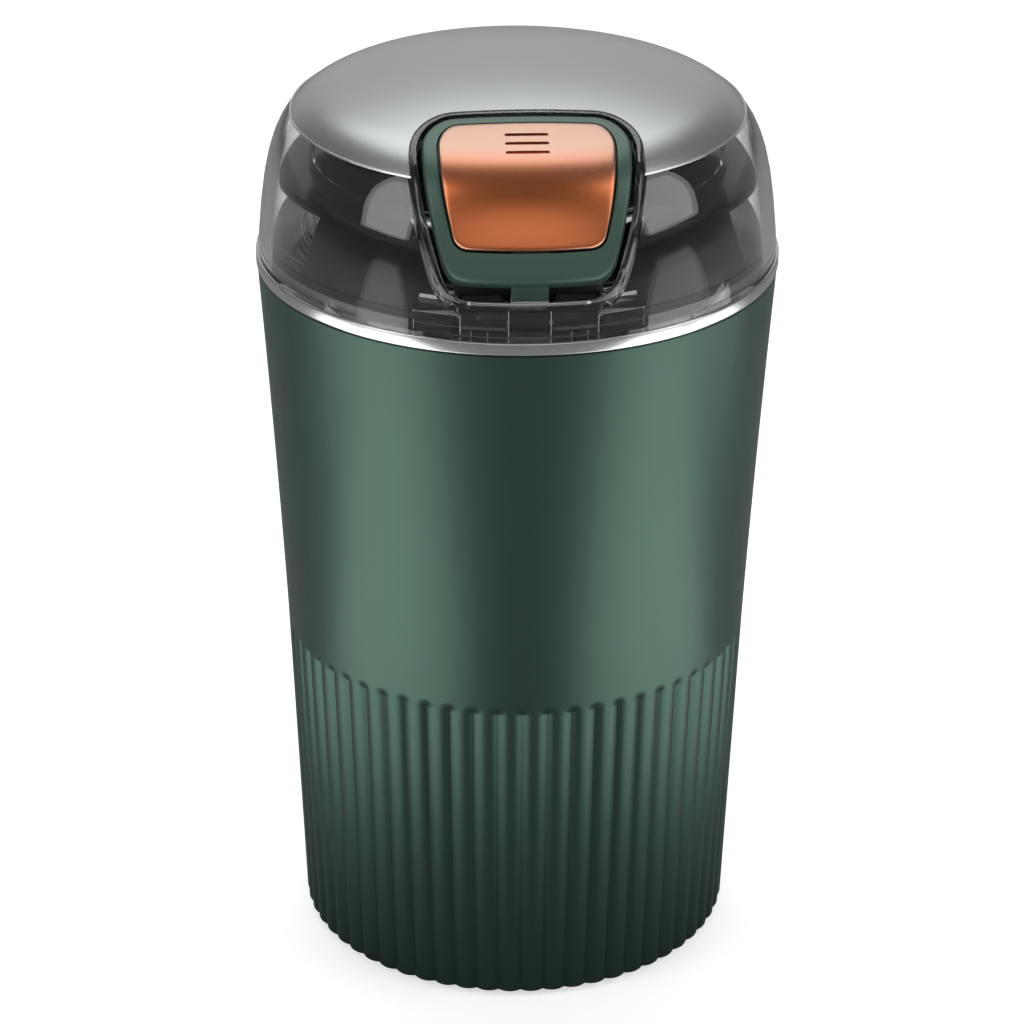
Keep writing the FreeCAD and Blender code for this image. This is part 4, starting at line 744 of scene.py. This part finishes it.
def pocketCutter(finish):
    # a block with the rim's outline, that stands square to the leaning plane
    gap = cutter["gap"]
    loop = pocketLoop(rim["side"] + gap, rim["top"] + gap, rim["bottom"] + gap)
    ends = []
    for w in (cutter["near"], cutter["far"]):
        y, dz = (loop[:, 1] - w) / sqrt(2), (loop[:, 1] + w) / sqrt(2)
        ends.append(np.stack([loop[:, 0], y, dz + lid["datum"]], axis=1))
    return loopPiece("pocketCutter", ends, finish, startCap=True, endCap=True)


topCap()
print("cap made")

guide = {"bottom": 144.3, "step": 147.05, "wingTop": 147.85, "top": 150.9, "half": 13.0, "wing": 20.6,
         "chord": -42.9, "lowerInner": 45.0, "gap": 0.1, "slotHalf": 4.05, "rib": 0.85, "chamberHalf": 12.2,
         "chamberFront": 0.7, "chamberFloor": 147.6, "windowLow": 144.9, "windowHigh": 146.1,
         "windowInner": 7.4, "windowOuter": 10.5, "edge": 0.18, "planRadius": 47, "planSteps": 25,
         "overlap": 0.2, "middleLift": 0.5, "chamberBack": 0.7}


def lidInnerRadius(z, gap=guide["gap"]):
    return lid["foot"] - lid["wall"] - gap - (z - lid["datum"]) * tan(radians(lid["lean"]))


def guideOutline(z, half, back):
    # plan of a block inside the lid's wall, with a straight back at y or a round one of a radius
    turn = asin(half / guide["planRadius"])
    turns = np.linspace(-turn, turn, guide["planSteps"])
    front = [(lidInnerRadius(z) * sin(a), -lidInnerRadius(z) * cos(a), z) for a in turns]
    if back < 0:
        return front + [(front[-1][0], back, z), (front[0][0], back, z)]
    return front + [(back * sin(a), -back * cos(a), z) for a in turns[::-1]]


def lidGuide():
    # clear block that guides the tongue: a slot, two chambers with windows, and two wings
    g = guide
    piece = prismPiece("clear_guide", guideOutline(g["bottom"], g["wing"], g["lowerInner"]),
                       guideOutline(g["step"] + g["overlap"], g["wing"], g["lowerInner"]), "lidClear")
    combine(piece, [
        prismPiece("wings", guideOutline(g["step"], g["wing"], g["chord"]),
                   guideOutline(g["wingTop"], g["wing"], g["chord"]), "lidClear"),
        prismPiece("middle", guideOutline(g["step"] + g["middleLift"], g["half"], g["chord"]),
                   guideOutline(g["top"], g["half"], g["chord"]), "lidClear")], "UNION")
    slot = g["slotHalf"]
    front = -lidInnerRadius(g["top"]) + g["chamberFront"]
    tools = [boxPiece("slot", (-slot, -beyond, g["bottom"] - 1), (slot, -within, g["top"] + 1), "lidClear")]
    for side in (-1, 1):
        a, b = sorted((side * (slot + g["rib"]), side * g["chamberHalf"]))
        tools.append(boxPiece("chamber", (a, front, g["chamberFloor"]),
                              (b, g["chord"] - g["chamberBack"], g["top"] + 1), "lidClear"))
        a, b = sorted((side * g["windowInner"], side * g["windowOuter"]))
        tools.append(boxPiece("window", (a, -beyond, g["windowLow"]), (b, -within, g["windowHigh"]),
                              "lidClear"))
    combine(piece, tools, "DIFFERENCE")
    roundEdges(piece, g["edge"], 2, 35)
    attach(piece, "lid")
    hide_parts("lid_shell")


lidGuide()

# Painted glints as pale strips on the edges of the guide block and the tops of its wings, painted
# reflections as grey strips, and its two dark chambers, in mm of x and z
guideEdges = {
    "pale": [(3.68, 3.86, 144.4, 150.2), (12.2, 12.38, 144.4, 148.0), (20.4, 20.52, 144.5, 147.9),
             (7.4, 7.52, 144.4, 145.1), (10.3, 10.42, 144.4, 145.1)],
    "grey": [(4.1, 12.1, 145.5, 146.1), (4.1, 12.1, 149.95, 150.05), (12.4, 20.4, 145.7, 145.85)],
    "dark": [(4.2, 12.0, 146.3, 149.8)],
    "wingTop": (12.4, 20.6, 147.9, 148.0), "chord": -42.6, "sink": 0.06, "deep": 0.3, "steps": 12,
    "least": 0.02,
}


def arcSlab(name, side, x0, x1, z0, z1, finish, back=None):
    # a thin curved plate just behind the lid's wall, or a flat one back to a straight chord
    g = guideEdges
    across = np.linspace(x0, x1, g["steps"]) * side
    rows = []
    for z in (z0, z1):
        reach = lidInnerRadius(z) - g["sink"]
        front = [(x, -sqrt(reach ** 2 - x ** 2), z) for x in across]
        if back is None:
            rear = [(x, -sqrt((reach - g["deep"]) ** 2 - x ** 2), z) for x in across[::-1]]
        else:
            rear = [(x, max(back, -sqrt(reach ** 2 - x ** 2) + g["least"]), z) for x in across[::-1]]
        rows.append(front + rear)
    return prismPiece(name, rows[0], rows[1], finish)


def guideDetail():
    g = guideEdges
    # pale strips are painted glints and grey strips are painted reflections; the dark ones are plates in the
    # chambers
    for kind, finish, slot in (("pale", "paleEdge", "smoked_clear"), ("grey", "greyEdge", "smoked_clear"),
                               ("dark", "blackGloss", "black_plastic")):
        for index, place in enumerate(g[kind]):
            for side, word in ((-1, "left"), (1, "right")):
                piece = arcSlab("guide_%s_%s_%d" % (kind, word, index + 1), side, *place, finish)
                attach(piece, "lid")
    # painted glints on the tops of the wings
    for side, word in ((-1, "left"), (1, "right")):
        piece = arcSlab("guide_wing_top_glint_" + word, side, *g["wingTop"], "paleEdge", g["chord"])
        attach(piece, "lid")


guideDetail()
print("guide block made")

cover = {"bottom": 143.2, "bottomRadius": 42.2, "topRadius": 37.5, "top": 162.6, "wall": 2.2, "corner": 2.4,
         "flangeBottom": 147.7, "flange": 2.6, "flangeGap": 0.25, "topRound": 0.6}
trim = {"half": 30, "gap": 0.2, "low": 140, "high": 170}
hub = 0.05  # least radius of a disc's rows


def frontTrim(finish, front=guide["chord"] + trim["gap"], low=trim["low"], high=trim["high"]):
    # a block that cuts a piece flat behind the guide block
    return boxPiece("trim", (-trim["half"], -beyond, low), (trim["half"], front, high), finish)


def chamberCover():
    g = cover
    slope = (g["bottomRadius"] - g["topRadius"]) / (g["top"] - g["corner"] - g["bottom"])
    flangeTop = g["flangeBottom"] + g["flange"]
    reachLow, reachTop = (lidInnerRadius(z, g["flangeGap"]) for z in (g["flangeBottom"], flangeTop))
    corners = [(g["bottomRadius"], g["bottom"], 0.2),
               (g["bottomRadius"] - slope * (g["flangeBottom"] - g["bottom"]), g["flangeBottom"], 0.3),
               (reachLow, g["flangeBottom"], 0.2), (reachTop, flangeTop, 0.2),
               (g["bottomRadius"] - slope * (flangeTop - g["bottom"]), flangeTop, 0.3),
               (g["topRadius"] + g["topRound"], g["top"], g["corner"])]
    outside = roundedOutline(corners, 5)[:-6] + roundedOutline(corners[-2:] + [(0.0, g["top"], 0)], 5)[6:12]
    innerTop = g["top"] - g["wall"]
    inside = roundedOutline([(0.0, innerTop, 0),
                             (g["topRadius"] + g["topRound"] - g["wall"], innerTop, g["corner"] * 0.5),
                             (g["bottomRadius"] - g["wall"], g["bottom"], 0)], 4)[1:]
    section = [(hub, innerTop)] + inside + outside + [(hub, g["top"])]
    piece = discPiece("clear_chamber_cover", [(max(r, hub), z) for r, z in section], "coverClear")
    combine(piece, [frontTrim("coverClear", low=g["bottom"] - 1, high=g["top"]), linerSector(0.15)],
            "DIFFERENCE")
    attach(piece, "lid")
    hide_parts("chamber_cover")


gasket = {"inner": 42.9, "outer": 46.95, "skirtInner": 45.15, "skirtBottom": 146.3, "bottom": 146.9,
          "top": 147.65, "edge": 0.15}


def lidGasket():
    g = gasket
    section = roundedOutline([(g["inner"], g["bottom"], g["edge"]), (g["skirtInner"], g["bottom"], 0),
                              (g["skirtInner"], g["skirtBottom"], g["edge"]),
                              (g["outer"], g["skirtBottom"], g["edge"]),
                              (g["outer"] - 0.15, g["top"], g["edge"]),
                              (g["inner"], g["top"], g["edge"])])
    piece = lathePiece("black_gasket", section, "blackRubber")
    combine(piece, [frontTrim("blackRubber")], "DIFFERENCE")
    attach(piece, "lid")
    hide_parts("lid_gasket")


liner = {"turn": 58.5, "topTurn": 53.5, "gap": 0.25, "thick": 2.0, "bottom": 147.9,
         "plateTop": 161.2, "plateBottom": 159.6, "plateInner": 38.9, "plateHub": 0.8, "plateEdge": 1.0,
         "steps": 72, "growRadius": 45,
         "discRadius": 38.2, "discBottom": 162.66, "discTop": 163.3, "discFront": -39.5, "discEdge": 0.1,
         "guideGapSide": 0.3, "guideGapTop": 0.4}


def linerSector(grow=0.0):
    # section of the dark apron, turned through its sector in front
    g = liner

    def reachAt(z, depth):
        line = lidOutline(lid["wall"] + depth)
        return np.interp(z - lid["datum"], line[:, 1], line[:, 0])

    def turnAt(z):
        share = (z - g["bottom"]) / (g["plateTop"] - g["bottom"])
        return radians(g["turn"] + (g["topTurn"] - g["turn"]) * share) + grow / g["growRadius"]

    heights = np.linspace(g["bottom"] - grow, g["plateTop"] + grow, 12)
    outside = [(reachAt(z, g["gap"] - grow), z) for z in heights]
    inside = [(reachAt(z, g["gap"] + g["thick"] + grow), z) for z in heights[::-1]]
    loops = [[(r * sin(turnAt(z) * a), -r * cos(turnAt(z) * a), z) for r, z in outside + inside]
             for a in np.linspace(-1, 1, g["steps"])]
    return loopPiece("dark_liner", loops, "blackGloss", startCap=True, endCap=True)


def darkLiner():
    # dark apron and plate inside the lid, round the lever's mechanism
    g = liner
    plate = lathePiece("plate", roundedOutline([
        (g["plateInner"], g["plateBottom"], 0.2), (g["plateInner"], g["discTop"], 0.2),
        (g["plateInner"] + g["plateHub"], g["discTop"], 0.2),
        (g["plateInner"] + g["plateHub"], g["plateTop"], 0.1),
        (lidInnerRadius(g["plateTop"]) - g["plateEdge"], g["plateTop"], 0.2),
        (lidInnerRadius(g["plateBottom"]) - g["plateEdge"], g["plateBottom"], 0.2)]), "blackGloss")
    piece = linerSector()
    combine(piece, [plate], "UNION")
    half = guide["wing"] + g["guideGapSide"]
    guideCut = boxPiece("guideCut", (-half, -beyond, trim["low"]), (half, -within,
                        guide["top"] + g["guideGapTop"]), "blackGloss")
    combine(piece, [pocketCutter("blackGloss"), guideCut], "DIFFERENCE")
    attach(piece, "lid")
    r, low, high, edge = g["discRadius"], g["discBottom"], g["discTop"], g["discEdge"]
    disc = discPiece("dark_disc", [(hub, low), (r, low), (r + edge, low + edge), (r + edge, high - edge),
                                   (r, high), (hub, high)], "blackGloss")
    combine(disc, [frontTrim("blackGloss", g["discFront"]), pocketCutter("blackGloss")], "DIFFERENCE")
    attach(disc, "lid")


chamberCover()
lidGasket()
darkLiner()
print("chamber cover, gasket and dark liner made")


# Carried-over pieces get their finishes

nodeFinishes = {
    "bowl_carrier": "blackAbs", "grinding_bowl": "bowlSteel", "shaft_seal": "blackRubber",
    "stator_core": "lamination", "upper_bracket": "castAlloy", "lower_bracket": "castAlloy",
    "upper_bush": "bronze", "lower_bush": "bronze", "thermal_cutout": "whiteNylon",
    "plunger_spring": "springSteel", "microswitch_case": "blackAbs", "base_cover": "blackAbs",
    "cord_gland": "blackRubber", "terminal_block": "whiteNylon", "carrier_screws": "zincScrew",
    "field_coils": "winding", "brush_holders": "bronze", "carbon_brushes": "carbon",
    "brush_springs": "springSteel", "motor_screws": "zincScrew", "rubber_dampers": "blackRubber",
    "damper_screws": "zincScrew", "switch_screws": "zincScrew", "switch_terminals": "bronze",
    "base_screws": "zincScrew", "rubber_feet": "blackRubber", "rectifier_board": "boardLaminate",
    "motor_shaft": "springSteel", "armature_core": "lamination", "armature_windings": "winding",
    "commutator": "winding", "cooling_fan": "blackAbs", "blade_washer": "zincScrew",
    "grinding_blade": "bowlSteel", "blade_nut": "zincScrew",
    "button_cradle": "blackAbs", "hinge_pin": "springSteel", "button_spring": "springSteel",
    "cradle_screws": "zincScrew", "plunger": "blackAbs", "switch_lever": "springSteel",
    "switch_nub": "whiteNylon",
}

for nodeName, finish in nodeFinishes.items():
    mesh = nodes[nodeName].data
    mesh.materials.clear()
    mesh.materials.append(finishes[finish])
print("node finishes set")


# Studio: white floor, two tall soft boxes at the sides, one overhead, and pale cards on the table

cameraFit = {"focalPixels": 3646.49, "imagePixels": 1024, "elevation": 25.670, "distance": 726.449,
             "aimX": -0.785, "aimZ": 86.411, "roll": 0.263, "turn": -2.75, "sensor": 36.0}


def placeCamera():
    g = cameraFit
    lift, roll = radians(g["elevation"]), radians(g["roll"])
    back = Vector((0, -cos(lift), sin(lift)))
    right = Vector((1, 0, 0))
    up = back.cross(right)
    right, up = right * cos(roll) + up * sin(roll), up * cos(roll) - right * sin(roll)
    place = (Vector((g["aimX"], 0, g["aimZ"])) + back * g["distance"]) * mm
    matrix = Matrix((right, up, back)).transposed().to_4x4()
    matrix.translation = place
    data = bpy.data.cameras.new("photoCamera")
    data.sensor_width = g["sensor"]
    data.lens = g["sensor"] * g["focalPixels"] / g["imagePixels"]
    data.clip_start = 0.01
    camera = bpy.data.objects.new("photoCamera", data)
    camera.matrix_world = Matrix.Rotation(radians(g["turn"]), 4, "Z") @ matrix
    bpy.context.scene.collection.objects.link(camera)
    bpy.context.scene.camera = camera


def areaLight(name, width, depth, radiance):
    # rectangle of a size in mm that the camera doesn't see
    data = bpy.data.lights.new(name, "AREA")
    data.shape = "RECTANGLE"
    data.size, data.size_y = width * mm, depth * mm
    data.energy = radiance * pi * data.size * data.size_y
    lamp = bpy.data.objects.new(name, data)
    lamp.visible_camera = False
    bpy.context.scene.collection.objects.link(lamp)
    return lamp


def softBox(name, place, aim, size, radiance):
    # place is azimuth from -Y towards +X, elevation and distance, seen from aim, in degrees and mm
    turn, lift = radians(place[0]), radians(place[1])
    way = Vector((sin(turn) * cos(lift), -cos(turn) * cos(lift), sin(lift)))
    lamp = areaLight(name, *size, radiance)
    lamp.location = (Vector(aim) + way * place[2]) * mm
    lamp.rotation_euler = way.to_track_quat("Z", "Y").to_euler()


def bounceCard(name, azimuth, near, far, width, radiance):
    # a white card that lies on the table beside the object and lights it from below
    turn, middle = radians(azimuth), (near + far) / 2 * mm
    lamp = areaLight(name, width, far - near, radiance)
    lamp.location = (middle * sin(turn), -middle * cos(turn), 2 * mm)
    lamp.rotation_euler = (pi, 0, turn)


def seenWhite(tree):
    # 1 for what the camera sees, straight or through clear plastic, and 0 for light on the object
    path = addNode(tree, "ShaderNodeLightPath")
    bounces = addNode(tree, "ShaderNodeMath", {0: path.outputs["Glossy Depth"],
                                               1: path.outputs["Diffuse Depth"]}, operation="ADD")
    straight = addNode(tree, "ShaderNodeMath", {0: bounces.outputs[0]}, {1: 0.5}, operation="LESS_THAN")
    through = addNode(tree, "ShaderNodeMath", {0: path.outputs["Is Transmission Ray"],
                                               1: straight.outputs[0]}, operation="MULTIPLY")
    seen = addNode(tree, "ShaderNodeMath", {0: path.outputs["Is Camera Ray"], 1: through.outputs[0]},
                   operation="MAXIMUM")
    return seen.outputs[0]


def studioFloor():
    g = studio
    half = g["floorHalf"]
    mesh = bpy.data.meshes.new("studio_floor")
    mesh.from_pydata([(-half, -half, 0), (half, -half, 0), (half, half, 0), (-half, half, 0)], [],
                     [(0, 1, 2, 3)])
    floor = bpy.data.objects.new("studio_floor", mesh)
    bpy.context.scene.collection.objects.link(floor)
    material = bpy.data.materials.new("whitePaperFloor")
    tree = clearedTree(material)
    seen = seenWhite(tree)
    grey = addNode(tree, "ShaderNodeMapRange", {"Value": seen},
                   {"To Min": g["albedo"], "To Max": g["seenAlbedo"]})
    glow = addNode(tree, "ShaderNodeMath", {0: seen}, {1: g["seenGlow"]}, operation="MULTIPLY")
    paper = addNode(tree, "ShaderNodeBsdfDiffuse", {"Color": grey.outputs["Result"]})
    white = addNode(tree, "ShaderNodeEmission", {"Strength": glow.outputs[0]}, {"Color": (1, 1, 1, 1)})
    mixed = addNode(tree, "ShaderNodeAddShader", {0: paper.outputs[0], 1: white.outputs[0]})
    output = addNode(tree, "ShaderNodeOutputMaterial")
    tree.links.new(mixed.outputs[0], output.inputs["Surface"])
    mesh.materials.append(material)


def studioWorld():
    # white in the picture; for the object a dim room with a pale wall behind and in front
    g = studio
    world = bpy.data.worlds.new("studioWorld")
    bpy.context.scene.world = world
    tree = clearedTree(world)
    place = addNode(tree, "ShaderNodeTexCoord")
    way = addNode(tree, "ShaderNodeSeparateXYZ", {0: place.outputs["Generated"]})
    walls = []
    for side, glow in ((-1, g["frontGlow"]), (1, g["backGlow"])):
        wall = addNode(tree, "ShaderNodeMapRange", {"Value": way.outputs["Y"]},
                       {"From Min": 0.7 * side, "From Max": 0.95 * side, "To Min": 0.0, "To Max": glow},
                       interpolation_type="SMOOTHSTEP")
        walls.append(wall.outputs["Result"])
    both = addNode(tree, "ShaderNodeMath", {0: walls[0], 1: walls[1]}, operation="ADD")
    low = addNode(tree, "ShaderNodeMapRange", {"Value": way.outputs["Z"]},
                  {"From Min": 0.66, "From Max": 0.92, "To Min": 1.0, "To Max": 0.0},
                  interpolation_type="SMOOTHSTEP")
    share = addNode(tree, "ShaderNodeMath", {0: both.outputs[0], 1: low.outputs["Result"]},
                    operation="MULTIPLY")
    level = addNode(tree, "ShaderNodeMath", {0: share.outputs[0]}, {1: g["roomGlow"]}, operation="ADD")
    room = addNode(tree, "ShaderNodeBackground", {"Strength": level.outputs[0]}, {"Color": (1, 1, 1, 1)})
    white = addNode(tree, "ShaderNodeBackground", None, {"Color": (1, 1, 1, 1), "Strength": 1.0})
    mixed = addNode(tree, "ShaderNodeMixShader", {0: seenWhite(tree), 1: room.outputs[0],
                                                  2: white.outputs[0]})
    output = addNode(tree, "ShaderNodeOutputWorld")
    tree.links.new(mixed.outputs[0], output.inputs["Surface"])


studio = {"floorHalf": 4.0, "albedo": 0.38, "seenAlbedo": 0.85, "seenGlow": 0.6, "frontGlow": 0.62,
          "backGlow": 0.46, "roomGlow": 0.18}

softBoxes = {
    "leftSoftBox": {"place": (-62.5, 27, 800), "aim": (0, 0, 162), "size": (350, 780), "radiance": 2.1},
    "rightSoftBox": {"place": (69, 27, 800), "aim": (0, 0, 162), "size": (430, 780), "radiance": 1.95},
    "topSoftBox": {"place": (182, 59.5, 900), "aim": (0, 0, 175), "size": (860, 680), "radiance": 2.25},
}
cards = {
    "leftCard": {"azimuth": -57, "near": 110, "far": 520, "width": 180, "radiance": 2.5},
    "rightCard": {"azimuth": 57, "near": 110, "far": 520, "width": 180, "radiance": 2.5},
    "leftTable": {"azimuth": -82, "near": 270, "far": 520, "width": 150, "radiance": 2.2},
    "rightTable": {"azimuth": 87, "near": 270, "far": 520, "width": 200, "radiance": 2.0},
    "leftFar": {"azimuth": -61, "near": 520, "far": 1150, "width": 230, "radiance": 0.45},
    "rightFar": {"azimuth": 69, "near": 520, "far": 1150, "width": 320, "radiance": 0.45},
}

placeCamera()
for name, settings in softBoxes.items():
    softBox(name, **settings)
for name, settings in cards.items():
    bounceCard(name, **settings)
studioFloor()
studioWorld()
bpy.context.scene.view_settings.view_transform = "Standard"
print("studio made")
